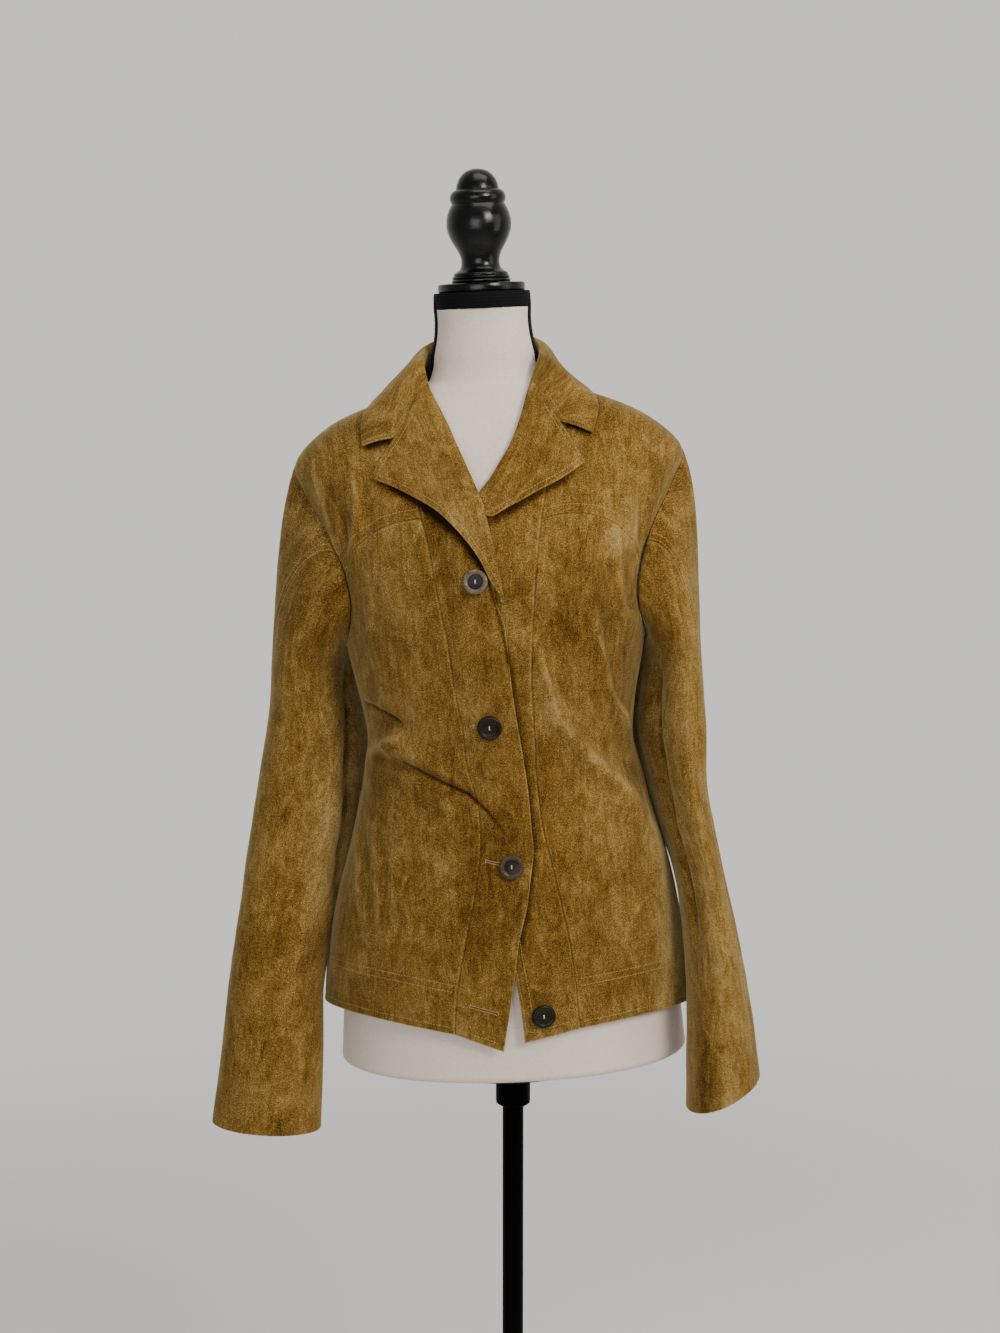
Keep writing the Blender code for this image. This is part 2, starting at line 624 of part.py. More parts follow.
def turn_back(roll, middle, edge, tall, base):
    """Sections of a cloth that comes up at the roll line, turns over it and lies back to its edge.

    Each is six control points of x, height and lift over the body, for one row of the given lines.
    """
    out = unit(middle - roll)
    size = tall[:, None]

    def at(place, lift):
        return np.concatenate([place, (lift * tall + base)[:, None]], axis=-1)

    return np.stack([
        at(roll + out * 0.0040 * size, -CLOTH / 2 / tall),
        at(roll - out * 0.0004 * size, 0.0012),
        at(roll - out * 0.0008 * size, 0.0036),
        at(roll + out * 0.0034 * size, 0.0056),
        np.concatenate([middle, (LAPEL_REST + 0.0012 * tall + base)[:, None]], axis=-1),
        np.concatenate([edge, (LAPEL_REST + base)[:, None]], axis=-1),
    ], axis=1)


SECTION_STEPS = np.array([0, 0.5, 1, 1.5, 2, 2.5, 3, 3.33, 3.67, 4, 4.5, 5])


def through(controls, steps):
    """Points of a smooth line at steps counted in its control points, such as 1.5."""
    gone = np.concatenate([[0.0], np.cumsum(np.linalg.norm(np.diff(controls, axis=0), axis=1))])
    at = np.interp(steps, np.arange(len(controls)), gone)
    return np.stack([smooth_curve(gone, controls[:, k])(at) for k in range(controls.shape[1])], axis=-1)


def lapel_sections(side, fractions):
    """Control points of a lapel's sections, from its break (0) to the gorge (1)."""
    roll = roll_rows(side, fractions)
    edge = along(np.array(LAPEL_EDGE[side], float) * MM, fractions)
    notch = np.array(NOTCH[side], float) * MM
    share = np.clip(0.75 - np.linalg.norm(edge - roll, axis=1) / 0.1, 0.5, 0.75)[:, None]
    straight = roll * (1 - share) + edge * share
    middle = straight + (notch - straight[-1]) * (fractions**4)[:, None]
    width = np.linalg.norm(edge - roll, axis=1)
    tall = np.clip(width / 0.035, 0.8, 1.0) * (1.0 if side == "right" else 0.9)
    base = lap_lift(roll[:, 0], roll[:, 1]) if side == "right" else 0 * tall
    return turn_back(roll, middle, edge, tall, base)


def sheet_wall(name, sheet, finish):
    """A wall from its middle sheet, half its thickness to each side."""
    normal = grid_normals(sheet)
    return wall(name, sheet + normal * FACED / 2, sheet - normal * FACED / 2, finish)


def lapel(side, finish):
    controls = lapel_sections(side, np.linspace(0, 1, 12))
    flat = np.stack([through(section, SECTION_STEPS) for section in controls])
    return sheet_wall(f"lapel_{side}", from_front(flat, flat[..., 2]), finish)


def grid_normals(grid):
    down = np.gradient(grid, axis=0)
    across = np.gradient(grid, axis=1)
    return unit(np.cross(across, down))


def collar_end(side):
    """The collar's first section: along the gorge with the lapel, then on to the collar's point."""
    last = lapel_sections(side, np.linspace(0, 1, 12))[-1].copy()
    sign = SIDE_SIGN[side]
    last[:, 0] += sign * GORGE_GAP
    last[:, 1] += GORGE_GAP
    flat = through(last, SECTION_STEPS)
    point = np.array([*COLLAR_POINT[side], (LAPEL_REST + SEAM_GAP) / MM]) * MM
    beyond = np.clip(SECTION_STEPS - 4, 0, 1)[:, None]
    flat = np.where(beyond > 0, last[4] * (1 - beyond) + point * beyond, flat)
    return from_front(flat, flat[:, 2])


def collar(finish):
    """Stand and fall in one sheet, swept from one front end round the back to the other."""
    def sections(rows):
        return [through(np.array(row, float) * MM, SECTION_STEPS) for row in rows]

    mirror = np.array([-1, 1, 1])
    right = [section * mirror for section in sections(COLLAR_SECTIONS["right"])]
    left = sections(COLLAR_SECTIONS["left"])[::-1]
    middle = sections([COLLAR_BACK])
    stations = np.array([collar_end("right"), *right, *middle, *left, collar_end("left")])
    rows = 20
    sheet = np.stack([along(stations[:, k], np.linspace(0, 1, rows + 1))
                      for k in range(stations.shape[1])], axis=1)
    return sheet_wall("collar", sheet, finish)


def sleeve_map(side, around, rows):
    """Sleeve surface at degrees round it (one array per row) and at row places of its table."""
    sign = SIDE_SIGN[side]
    around = np.broadcast_to(np.asarray(around, float), (len(rows), np.shape(around)[-1]))
    turned_to = (around + 180) % 360 - 180
    start = body_point(ARMHOLE_ANGLE(turned_to), ARMHOLE_HEIGHT(turned_to))
    turn = np.radians(around)
    knots = [start]
    tuck = ((1 + np.cos(turn)) / 2) ** 1.5
    for height, inner_x, outer_x, middle_y, half_depth, outer_rise, inner_back in SLEEVE_SECTIONS[side]:
        x = (inner_x + outer_x) / 2 - (outer_x - inner_x) / 2 * np.cos(turn)
        y = middle_y - half_depth * np.sin(turn) + inner_back * tuck
        z = height - outer_rise / 2 * np.cos(turn)
        knots.append(np.stack([x, y, z], axis=-1) * MM)
    knots = np.stack(knots)
    chord = np.linalg.norm(np.diff(knots, axis=0), axis=-1, keepdims=True)
    rate = np.diff(knots, axis=0) / chord
    tangent = np.empty_like(knots)
    tangent[1:-1] = (rate[:-1] * chord[1:] + rate[1:] * chord[:-1]) / (chord[1:] + chord[:-1])
    tangent[-1] = rate[-1]
    outer = (1 - np.cos(turn)) / 2
    leave = np.stack([0.75 - 0.32 * outer, -0.45 * np.sin(turn), -0.30 - 0.55 * outer], axis=-1)
    tangent[0] = unit(leave) * 0.6
    rows = np.asarray(rows, float)
    k = np.clip(np.floor(rows).astype(int), 0, len(knots) - 2)
    j = np.arange(len(rows))
    t = (rows - k)[:, None, None]
    span = chord[k, j]
    point = hermite(knots[k, j], tangent[k, j] * span, knots[k + 1, j], tangent[k + 1, j] * span, t)
    return point * np.array([sign, 1, 1])


def sleeve_normal(side, around, rows):
    rows = np.asarray(rows, float)
    last = len(SLEEVE_SECTIONS[side])
    up = sleeve_map(side, around, np.clip(rows - 0.02, 0, last))
    down = sleeve_map(side, around, np.clip(rows + 0.02, 0, last))
    turn = sleeve_map(side, around + 1.0, rows) - sleeve_map(side, around - 1.0, rows)
    return unit(np.cross(turn, down - up)) * -SIDE_SIGN[side]


def sleeve_relief(side, around, points):
    """The sleeve's folds, placed by degrees round it and height; girth turns degrees to length."""
    folds = [(a0 * PER_DEGREE / MM, z0, a1 * PER_DEGREE / MM, z1, width, rise)
             for a0, z0, a1, z1, width, rise in SLEEVE_FOLDS[side]]
    return segment_relief(around * PER_DEGREE, points[..., 2], folds, SLEEVE_FOLD_COLUMNS)


def sleeve_panel(name, side, columns, rows, finish):
    """One sleeve panel: columns are degrees round the sleeve, one list for each row."""
    around = np.array(columns)
    outside = sleeve_map(side, around, rows)
    normal = sleeve_normal(side, around, rows)
    outside = outside + normal * sleeve_relief(side, around, outside)[..., None]
    # At the armhole the wall turns into the body's, so that the two edges lie face to face.
    at = (around[0] + 180) % 360 - 180
    body = body_normal(ARMHOLE_ANGLE(at), ARMHOLE_HEIGHT(at)) * np.array([SIDE_SIGN[side], 1, 1])
    agree = ease((np.sum(body * normal[0], axis=-1, keepdims=True) - 0.2) / 0.5)
    normal[0] = unit(body * agree + normal[0] * (1 - agree))
    return wall(name, outside, outside - normal * CLOTH, finish)


def sleeve(side, finish):
    rows = np.concatenate([[0, 0.15, 0.35, 0.58, 0.8], np.linspace(1, 9, 9)])
    seam = smooth_curve(column(SLEEVE_SEAM[side], SEAM_COLUMNS, "row"),
                        column(SLEEVE_SEAM[side], SEAM_COLUMNS, "around"))(rows)
    under = np.concatenate([[HIND_SEAM_AT, HIND_SEAM_AT / 2], LOW_ARM, [SLEEVE_SEAM_AT]])
    outer = np.concatenate([HIGH_ARM[1:], 360 + BACK_ARM[::-1][1:9]])
    hind = HIND_SEAM_AT + 0 * seam
    front = [hind[r] + (under - HIND_SEAM_AT) / (SLEEVE_SEAM_AT - HIND_SEAM_AT) * (seam[r] - hind[r])
             for r in range(len(rows))]
    behind = [seam[r] + (outer - SLEEVE_SEAM_AT) / (360 + HIND_SEAM_AT - SLEEVE_SEAM_AT)
              * (360 + HIND_SEAM_AT - seam[r]) for r in range(len(rows))]
    sleeve_panel(f"sleeve_under_{side}", side, front, rows, finish)
    sleeve_panel(f"sleeve_outer_{side}", side, behind, rows, finish)


def button(number, x, height, side, finish):
    """A round two-hole button: a rim, a dished middle and a short thread shank behind."""
    place = np.array([[x * MM, height * MM]])
    lift = lap_lift(place[:, 0], place[:, 1]) if side == "right" else np.zeros(1)
    lift = lift + np.maximum(body_relief(front_angle(place[:, 0], place[:, 1]), place[:, 1]), 0)
    foot = from_front(place, lift + SEAM_GAP + 0.0001)[0]
    out = body_normal(front_angle(place[:, 0], place[:, 1]), place[:, 1])[0]
    across = unit(np.cross(out, np.array([0.0, 0.0, 1.0])))
    up = np.cross(across, out)
    r, t, shank = BUTTON_RADIUS, BUTTON_THICK, SHANK_HEIGHT
    profile = [(SHANK_RADIUS, 0), (SHANK_RADIUS, shank), (r * 0.80, shank), (r, shank + t * 0.35),
               (r, shank + t * 0.7), (r * 0.9, shank + t), (r * 0.74, shank + t * 0.86),
               (r * 0.66, shank + t * 0.60)]
    turn = np.linspace(0, 2 * math.pi, 20, endpoint=False)
    rings = [foot + out * d + (np.cos(turn)[:, None] * across + np.sin(turn)[:, None] * up) * q
             for q, d in profile]
    rings_solid(f"button_{number}", np.array(rings), finish)


def blazer():
    cord = material("corduroy", CORD_BROWN, 0.92)
    horn = material("horn", HORN, 0.30)
    for side in ("right", "left"):
        fronts(side, cord)
        back(side, cord)
        lapel(side, cord)
        sleeve(side, cord)
    collar(cord)
    for number, (x, height, side) in enumerate(BUTTON_PLACES, start=1):
        button(number, x, height, side, horn)


# ==== The dress form and its stand ============================================================================

def torso(finish):
    inset = by_height(FORM_INSET, INSET_COLUMNS, "inset")
    around = np.radians(np.linspace(-180, 180, 36, endpoint=False))
    heights = np.concatenate([np.linspace(TORSO_BOTTOM, 1.28, 14), [1.30, 1.316, 1.330, 1.344, 1.356,
                              1.366, 1.374, 1.381]])
    rings = [on_body(around, np.full_like(around, z), -inset(z) + 0 * around) for z in heights]
    for ring, z in zip(rings, heights):
        if z > 1.25:
            ring[:, 0] = np.clip(ring[:, 0], -ARM_PLATE, ARM_PLATE)
    rings[0][:, 2] = TORSO_BOTTOM
    for z, half_width, front, rear in NECK_RINGS:
        rings.append(ring_point(around, np.full_like(around, z * MM), half_width * MM, front * MM,
                                rear * MM))
    rings_solid("form_torso", np.array(rings), finish)


def dress_form():
    linen = material("linen_cover", LINEN, 0.85)
    wood = material("black_wood", BLACK_WOOD, 0.18)
    iron = material("black_iron", IRON, 0.45, 0.6)
    torso(linen)
    gap = SEAM_GAP / MM
    neck_top = NECK_RINGS[-1][0]
    turned("form_neck_band", [(47.2, neck_top + gap), (48, 1464), (48, 1476), (47, 1478)], wood)
    turned("form_neck_disc", [(42, 1478 + gap), (43, 1480.5), (43, 1484.5), (41.5, 1486.5)], wood)
    turned("form_finial", [(r, z + gap) for r, z in FINIAL], wood, sides=24)
    turned("form_plate", [(100, 698), (102, 700), (102, 704), (100, 705.6)], wood, sides=32)
    stand(iron)


def stand(finish):
    """A weighted round base, a straight pole and the socket that the leaning form sits on."""
    disc = [(156, 0), (160, 3), (160, 9), (156, 13), (60, 16), (34, 20), (30, 24), (30, 52), (27, 55)]
    turned("stand_base", disc, finish, sides=36, lean=False)
    radius, top, gap = POLE_RADIUS / MM, POLE_TOP / MM, SEAM_GAP / MM
    turned("stand_pole", [(radius, disc[-1][1] + gap), (radius, top)], finish, sides=20, lean=False)
    socket = [(17, top + gap), (18, top + 3), (18, 676), (34, 690)]
    leaning = [(36, 692), (36, SOCKET_TOP / MM)]
    rings = np.concatenate([turned_rings(socket, 28), leaned(turned_rings(leaning, 28))])
    rings_solid("stand_socket", rings, finish, lean=False)


def main():
    clear_scene()
    blazer()
    dress_form()


main()
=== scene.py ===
"""Looks of a corduroy blazer worn on a limbless dress form.

The blazer's pieces lie on the same surfaces as the part's solids: body panels are patches on one body
surface between shared seams, and sleeves, lapels and collar are swept from short tables. Here they are
divided finely, with rolled seams, rounded edges, puckers and the smaller folds, and the top stitching,
buttonholes and buttons are laid on them. Tables are in millimetres and degrees.
"""

import math

import bmesh
import bpy
import numpy as np
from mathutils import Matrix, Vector


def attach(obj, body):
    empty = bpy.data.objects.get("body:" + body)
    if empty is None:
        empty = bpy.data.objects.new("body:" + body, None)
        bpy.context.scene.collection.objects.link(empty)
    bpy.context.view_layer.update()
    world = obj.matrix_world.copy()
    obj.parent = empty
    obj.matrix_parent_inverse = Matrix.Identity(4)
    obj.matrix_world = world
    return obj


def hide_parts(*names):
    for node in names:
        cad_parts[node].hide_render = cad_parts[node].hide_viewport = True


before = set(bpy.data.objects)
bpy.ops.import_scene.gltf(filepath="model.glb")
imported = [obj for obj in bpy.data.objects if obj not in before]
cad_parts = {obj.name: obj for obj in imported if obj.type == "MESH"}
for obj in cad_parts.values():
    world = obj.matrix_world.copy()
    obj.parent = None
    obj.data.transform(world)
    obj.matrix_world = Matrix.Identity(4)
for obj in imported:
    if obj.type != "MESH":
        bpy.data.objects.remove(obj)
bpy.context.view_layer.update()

MM = 0.001

# ---- Driving sizes, metres --------------------------------------------------
CLOTH = 0.0016           # wall of a body or sleeve panel
FACED = 0.0022           # wall of a lapel or the collar: two cloths and their canvas
SEAM_GAP = 0.0003        # between pieces that are sewn or rest on each other
RING_POWER = 2.2         # superellipse power of a horizontal ring, 2 is an ellipse

LEAN = math.radians(2.4)  # of the form, towards -X
LEAN_HEIGHT = 0.72        # where the leaning part starts

ARMPIT = 1.132           # height of the side seam's top
SHOULDER_TIP = 1.322     # height of the shoulder seam's outer end
SEAM_POINT = 1.3765      # height at which a front's long seam meets the shoulder seam
NECK_POINT = 1.3845      # height of the shoulder seam's inner end
BACK_HEM = 0.756
BACK_NECK = 1.391

LAP_LIFT = 0.0026        # how far the front that lies on top stands off the one under it
LAP_LIFT_TOP = 0.0085    # the same just below the opening, where a lapel lies between them
LAP_RUN = 0.030          # the front on top rises to that lift over this much cloth
LAP_MARGIN = 0.001       # kept from the seam and from the edge underneath
LAP_OPENING_RUN, LAP_END_RUN = 0.055, 0.05   # heights over which the lift grows, and fades at both ends
LAP_FROM, LAP_OPENS, LAP_ENDS = 0.775, 1.185, 1.345  # heights: lap starts, lapel starts, lap ends
ROLL_INSET = 0.0052      # from a lapel's roll to the edge of the front it turns back from
LAPEL_REST = 0.0021      # middle of a lapel's wall above the front it lies on, at its edge

BUTTON_RADIUS = 0.012
BUTTON_THICK = 0.0042
SHANK_HEIGHT = 0.0009    # of thread, behind a button

POLE_RADIUS = 0.011
POLE_TOP = 0.640
TORSO_BOTTOM = 0.706

# ---- The body surface: horizontal rings of the jacket's outside -------------
BODY_COLUMNS = ("height", "half_width", "front", "back")
BODY_RINGS = [
    (700, 192, 131, 128),
    (754, 187, 130, 126),
    (800, 182, 129, 124),
    (850, 175.5, 127, 121),
    (900, 165.5, 124, 116),
    (950, 152, 120, 108),
    (1000, 141, 117, 100),
    (1030, 134.5, 117, 97),
    (1060, 136.5, 121, 98),
    (1100, 144, 127, 103),
    (1140, 151, 132, 108),
    (1180, 157, 134, 112),
    (1220, 165, 130, 114),
    (1260, 176, 118, 110),
    (1290, 186, 102, 101),
    (1315, 193, 89, 90),
    (1340, 174, 77, 77),
    (1357, 149, 68.5, 70),
    (1370, 118, 62.5, 66),
    (1380, 90, 58, 63.5),
    (1391, 70, 55, 62),
]

# Round an armhole: 180 at the shoulder tip, 90 at the front, 0 at the armpit, -90 at the back.
ARMHOLE_COLUMNS = ("around", "angle", "height")
ARMHOLE = [
    (-180, 90, 1322),
    (-150, 101, 1285),
    (-120, 109, 1248),
    (-90, 111, 1208),
    (-60, 109, 1172),
    (-30, 104, 1147),
    (0, 90, 1132),
    (30, 74, 1148),
    (60, 64, 1175),
    (90, 62, 1208),
    (120, 66.5, 1250),
    (150, 77, 1284),
    (180, 90, 1322),
]
YOKE_AT = 93             # where the chest seam meets the armhole, degrees round it
SLEEVE_SEAM_AT = 107     # where the sleeve's front seam meets it
HIND_SEAM_AT = -36       # where the sleeve's hind seam meets it

# ---- The fronts: each line by height, x across ------------------------------
# "right" is the wearer's right, at -X, and lies on top.
LINE_COLUMNS = ("height", "x")
FRONT_EDGE = {
    "right": [(742, -9), (795, 1), (824, 6), (854, 11), (888, 20), (913, 24), (942, 28), (961, 27),
              (1001, 25), (1031, 22), (1071, 17), (1112, 13), (1154, 10.5), (1167, 9.2)],
    "left": [(750, 12), (789, 9), (824, 4), (860, 0), (927, -6), (1000, -14), (1066, -21),
             (1207, -26), (1250, -23)],
}
ROLL_LINE = {
    "right": [(1188, 7.3), (1202, 6), (1223, 3), (1240, 0), (1257, -3.5), (1270, -6.5), (1287, -12.5),
              (1303, -19), (1330, -29), (1354, -39), (1377, -50), (1386, -54)],
    "left": [(1268, -19), (1279, -13), (1288, -8), (1300, 2), (1313, 11), (1331, 22), (1354, 32),
             (1377, 40), (1388, 44)],
}
LAPEL_EDGE = {
    "right": [(-0.6, 1187), (-1.6, 1197), (-3.4, 1208), (-9, 1222), (-28.5, 1250), (-47, 1268),
              (-66, 1282), (-93, 1297), (-114, 1305)],
    "left": [(-12, 1257), (-3, 1263), (14, 1272), (29, 1279), (48, 1288), (68, 1297), (92, 1312)],
}
# The notch: the gorge seam runs from the roll's top to it, and lapel and collar part there.
NOTCH = {"right": (-89, 1341), "left": (70, 1349)}
COLLAR_POINT = {"right": (-121, 1334), "left": (101, 1338)}
PRINCESS = {
    "right": [(760, -56), (795, -53), (846, -43), (895, -31), (924, -25.5), (964, -22), (996, -25),
              (1023, -32), (1063, -35), (1103, -41), (1152, -46), (1200, -54), (1256, -63),
              (1267, -66), (1300, -70), (1340, -76), (1362, -84), (1371, -92), (1375, -98)],
    "left": [(761, 67.5), (800, 65), (840, 61.5), (874, 56), (924, 46), (964, 38.5), (1000, 35),
             (1050, 34), (1144, 34.5), (1178, 38), (1216, 42), (1252, 47), (1263, 49),
             (1300, 57), (1340, 69), (1362, 82), (1371, 91), (1375, 98)],
}
YOKE_JOINT = {"right": 1.267, "left": 1.263}
YOKE_BOW = {"right": 0.013, "left": 0.021}
SIDE_HEM = {"right": 0.762, "left": 0.750}
HEM_RISE = {"right": 0.010, "left": 0.007}   # of a side front's hem between its two seams
SIDE_SIGN = {"right": -1, "left": 1}

# ---- The largest folds: soft ridges (+) and troughs (-), seen from the front 
FOLD_COLUMNS = ("x0", "z0", "x1", "z1", "width", "rise")
BODY_FOLDS = [
    (-128, 1030, -78, 1016, 6, -5.0),
    (-78, 1016, -26, 994, 5, -3.6),
    (-120, 1045, -72, 1033, 8, 2.4),
    (-134, 1070, -92, 1062, 6, -2.6),
    (-94, 1056, -136, 992, 9, 2.2),
    (-101, 1200, -107, 1092, 11, 1.8),
    (33, 1156, 60, 1066, 8, 2.6),
    (60, 1066, 118, 990, 8, 3.2),
    (118, 990, 158, 900, 10, 2.6),
    (72, 1010, 120, 945, 10, -2.0),
    (92, 1200, 108, 1100, 9, 2.0),
    (108, 1100, 134, 1010, 9, 1.8),
]

# ---- Sleeves: one row for each horizontal section ---------------------------
# Columns: height, inner_x, outer_x, middle_y, half_depth, outer_rise (of the outer side over the inner),
# inner_back (how far back the inner side is tucked, beside and behind the body).
SLEEVE_SECTIONS = {
    "right": [
        (1118, 147, 227, -4, 64, 0, 36),
        (1084, 144, 230, -8, 61, 0, 54),
        (1030, 135, 241, -13, 56, 0, 64),
        (982, 142, 251, -19, 51, 0, 62),
        (920, 157.5, 263, -28, 45, 0, 56),
        (860, 174, 275, -37, 41, 0, 42),
        (790, 190, 288, -46, 38, 0, 16),
        (715, 194, 299.5, -53, 35, 4, 0),
        (650, 200, 311.5, -58, 33, 12, 0),
    ],
    "left": [
        (1118, 145, 206, -8, 64, 0, 38),
        (1076, 138, 206, -20, 61, 0, 62),
        (1030, 132, 207, -32, 58, 0, 80),
        (985, 143.5, 205, -41, 55, 0, 74),
        (945, 155, 210, -48, 54, 0, 62),
        (895, 170, 218, -58, 54, 0, 38),
        (830, 176, 230, -68, 53, 0, 14),
        (755, 175, 239, -76, 51, 12, 0),
        (676, 172, 247, -80, 49, 33, 0),
    ],
}
# How a sleeve leaves the armhole: out, forward and down, the same added on its outer side, and how hard.
CAP_OUT, CAP_OUT_OUTER, CAP_FORE, CAP_DOWN, CAP_DOWN_OUTER, CAP_PULL = 0.75, -0.32, -0.45, -0.30, -0.55, 0.6
TUCK_POWER = 1.5         # how closely the tuck and the painted light on the inner side keep to it
# The front seam's place round the sleeve, by row of the table above (row 0 is the armhole).
SEAM_COLUMNS = ("row", "around")
SLEEVE_SEAM = {
    "right": [(0, 107), (0.5, 140), (1, 172), (2, 184), (4, 190), (9, 192)],
    "left": [(0, 107), (0.5, 128), (1, 142), (2, 148), (4, 152), (9, 150)],
}
# Folds on a sleeve: degrees round it and heights of both ends.
SLEEVE_FOLD_COLUMNS = ("around0", "height0", "around1", "height1", "width", "rise")
PER_DEGREE = 0.00085      # length round a sleeve of one degree
SLEEVE_FOLDS = {
    "right": [(58, 1000, 63, 840, 14, 3.0), (63, 840, 70, 730, 14, 2.4), (70, 1085, 150, 1060, 11, -3.0),
              (28, 1118, 50, 1030, 9, -3.6), (50, 1030, 46, 960, 9, -3.6), (46, 960, 26, 870, 9, -3.0),
              (66, 1030, 120, 985, 10, -2.2), (-60, 1050, -140, 1000, 12, -3.0)],
    "left": [(60, 1105, 72, 1030, 9, -4.0), (72, 1030, 67, 960, 9, -4.0), (67, 960, 50, 830, 9, -3.2),
             (104, 1050, 110, 900, 12, 2.4), (120, 880, 132, 700, 11, 2.0),
             (-60, 1050, -130, 990, 12, -3.0)],
}

# ---- The collar: sections from a front end round to the middle of the back --
# Each point is x, y, z, with x away from the middle. "base" is the neck seam, "fold" the top. The first
# section isn't here: it lies on the front, along the gorge. Columns: base, inner, fold, outer, middle, edge.
COLLAR_NEAR_BACK = ((32, 60, 1391), (23, 55, 1430), (23.5, 57.5, 1434.5), (25.5, 61.5, 1433), (34, 74, 1404),
                    (39, 79, 1372))
COLLAR_SECTIONS = {
    "right": [
        ((72, -27, 1384), (60, -31, 1405), (60, -34, 1410), (64, -38, 1408), (97, -48, 1381),
         (122, -49, 1358)),
        ((84, 0, 1386), (55.5, -1, 1420), (57, -2, 1424.5), (60.5, -3, 1423), (82.5, -4, 1403),
         (101.5, -4, 1384)),
        ((62, 38, 1388), (45, 35, 1427), (46, 37, 1431.5), (50, 40, 1430), (72, 50, 1403), (86, 54, 1376)),
        COLLAR_NEAR_BACK,
    ],
    "left": [
        ((66, -29, 1385), (53, -34, 1407), (53, -37, 1412), (57, -41, 1410), (85, -50, 1383),
         (108, -52, 1361)),
        ((84, 0, 1386), (53.5, -1, 1420), (54.8, -2, 1424.2), (58, -3, 1422.7), (73.5, -4, 1404),
         (95.5, -4, 1383)),
        ((62, 38, 1388), (45, 35, 1427), (46, 37, 1431.5), (50, 40, 1430), (71, 50, 1403), (84, 54, 1376)),
        COLLAR_NEAR_BACK,
    ],
}
COLLAR_BACK = ((0, 64, 1392), (0, 60, 1431), (0, 62.5, 1435.5), (0, 67, 1434), (0, 80, 1404), (0, 85, 1371))

# ---- Buttons and the dress form ---------------------------------------------
# Columns: x, height, the front that it lies on.
BUTTON_PLACES = [(-16, 1207, "right"), (-9, 1066, "right"), (6, 927, "right"), (31, 777, "left")]

# The form's neck. Columns as in BODY_COLUMNS.
NECK_RINGS = [
    (1386, 71, 52, 57),
    (1391, 61, 49.5, 55),
    (1402, 54, 47, 50),
    (1418, 51, 46, 47.5),
    (1436, 47.2, 45, 45.5),
    (1452, 46, 44.5, 45),
    (1462, 46.5, 45, 45),
]
# How far the form lies inside the jacket's outer face, by height.
INSET_COLUMNS = ("height", "inset")
FORM_INSET = [(700, 13), (800, 12), (900, 10), (1000, 9), (1100, 8), (1200, 6.5), (1280, 5),
              (1310, 3.6), (1340, 3.4), (1400, 3.4)]
ARM_PLATE = 0.168        # the form's shoulders end flat at this distance from the middle
ARM_PLATE_FROM = 1.25    # above this height
FORM_TOP = 1.381         # the form follows the body's rings up to here, and its neck's above
WAIST, WAIST_SLACK, WAIST_RUN = 1.02, 2.6 * MM, 0.075   # where the jacket is slack on the form, and how much

# ---- How finely the cloth is divided, and how its seams and edges lie -------
CELL, FRONT_CELL, BACK_CELL = 2.9 * MM, 2.1 * MM, 4.0 * MM
# Rough lengths and widths in metres, by which the pieces are divided.
CENTRE_SIZE, SIDE_SIZE, YOKE_LENGTH, BACK_SIZE = (0.62, 0.062), (0.5, 0.11), 0.14, (0.66, 0.20)
LAPEL_LENGTH, COLLAR_LENGTH = 0.21, 0.46
CAP_LENGTH, SLEEVE_LENGTH, UNDER_WIDTH, OUTER_WIDTH = 0.06, 0.47, 0.15, 0.22
EDGE_STEPS = np.array([0, 0.4, 0.9, 1.5, 2.3, 3.3, 4.5, 5.6, 6.6, 7.8, 9.6]) * MM
SEAM_CLEAR = 0.05 * MM   # half the gap between two sewn pieces
SEAM_DIP, SEAM_RUN, SEAM_TONE, SEAM_TONE_RUN = 0.75 * MM, 1.7 * MM, 0.12, 1.1 * MM
SEAM_WORN_AT, SEAM_WORN_LESS = 1.6 * MM, 0.7 * MM    # the puff beside a seam is worn like an edge, but less
SEWN_WORN_LESS = 1.3 * MM                            # and an edge that is sewn down still less
PUFF, PUFF_AT, PUFF_RUN = 0.28 * MM, 3.6 * MM, 2.2 * MM
STITCH_DIP, STITCH_RUN = 0.38 * MM, 1.0 * MM
EDGE_ROUND = 0.75 * MM
PUCKER, PUCKER_CELL, PUCKER_REACH, PUCKER_START = 0.55 * MM, 11 * MM, 8 * MM, 2.5 * MM

# ---- How folds, worn places and painted light and shade fade and vary -------
FOLD_PAST, FOLD_FADE = 0.15, 0.35   # shares of a fold's length: how far it runs on, and over what it fades
BACK_FOLDS = 0.7                    # of the front's folds on the back
CREASE_FADE = 0.22                  # share of a sharp fold's length over which each end fades
CREASE_TONE, CREASE_TONE_LEAST, CREASE_TONE_MOST = 0.62, 1.7, 6.0  # its tone's width, share and limits in mm
BLOT, BLOT_CELL, BLOT_SEED = 0.55, 7 * MM, 21      # unevenness of the lighter tone along a fold's ridge, partly wear and partly painted highlight
RAGGED, RAGGED_CELL, RAGGED_SEED = 0.45, 16 * MM, 33   # unevenness of the patches of nap and of painted light and shade
# Gentle unevenness of the whole jacket. Columns: rise in millimetres, cell in metres, seed.
RIPPLES = [(1.2, 0.085, 3), (0.55, 0.034, 5), (0.20, 0.015, 8)]

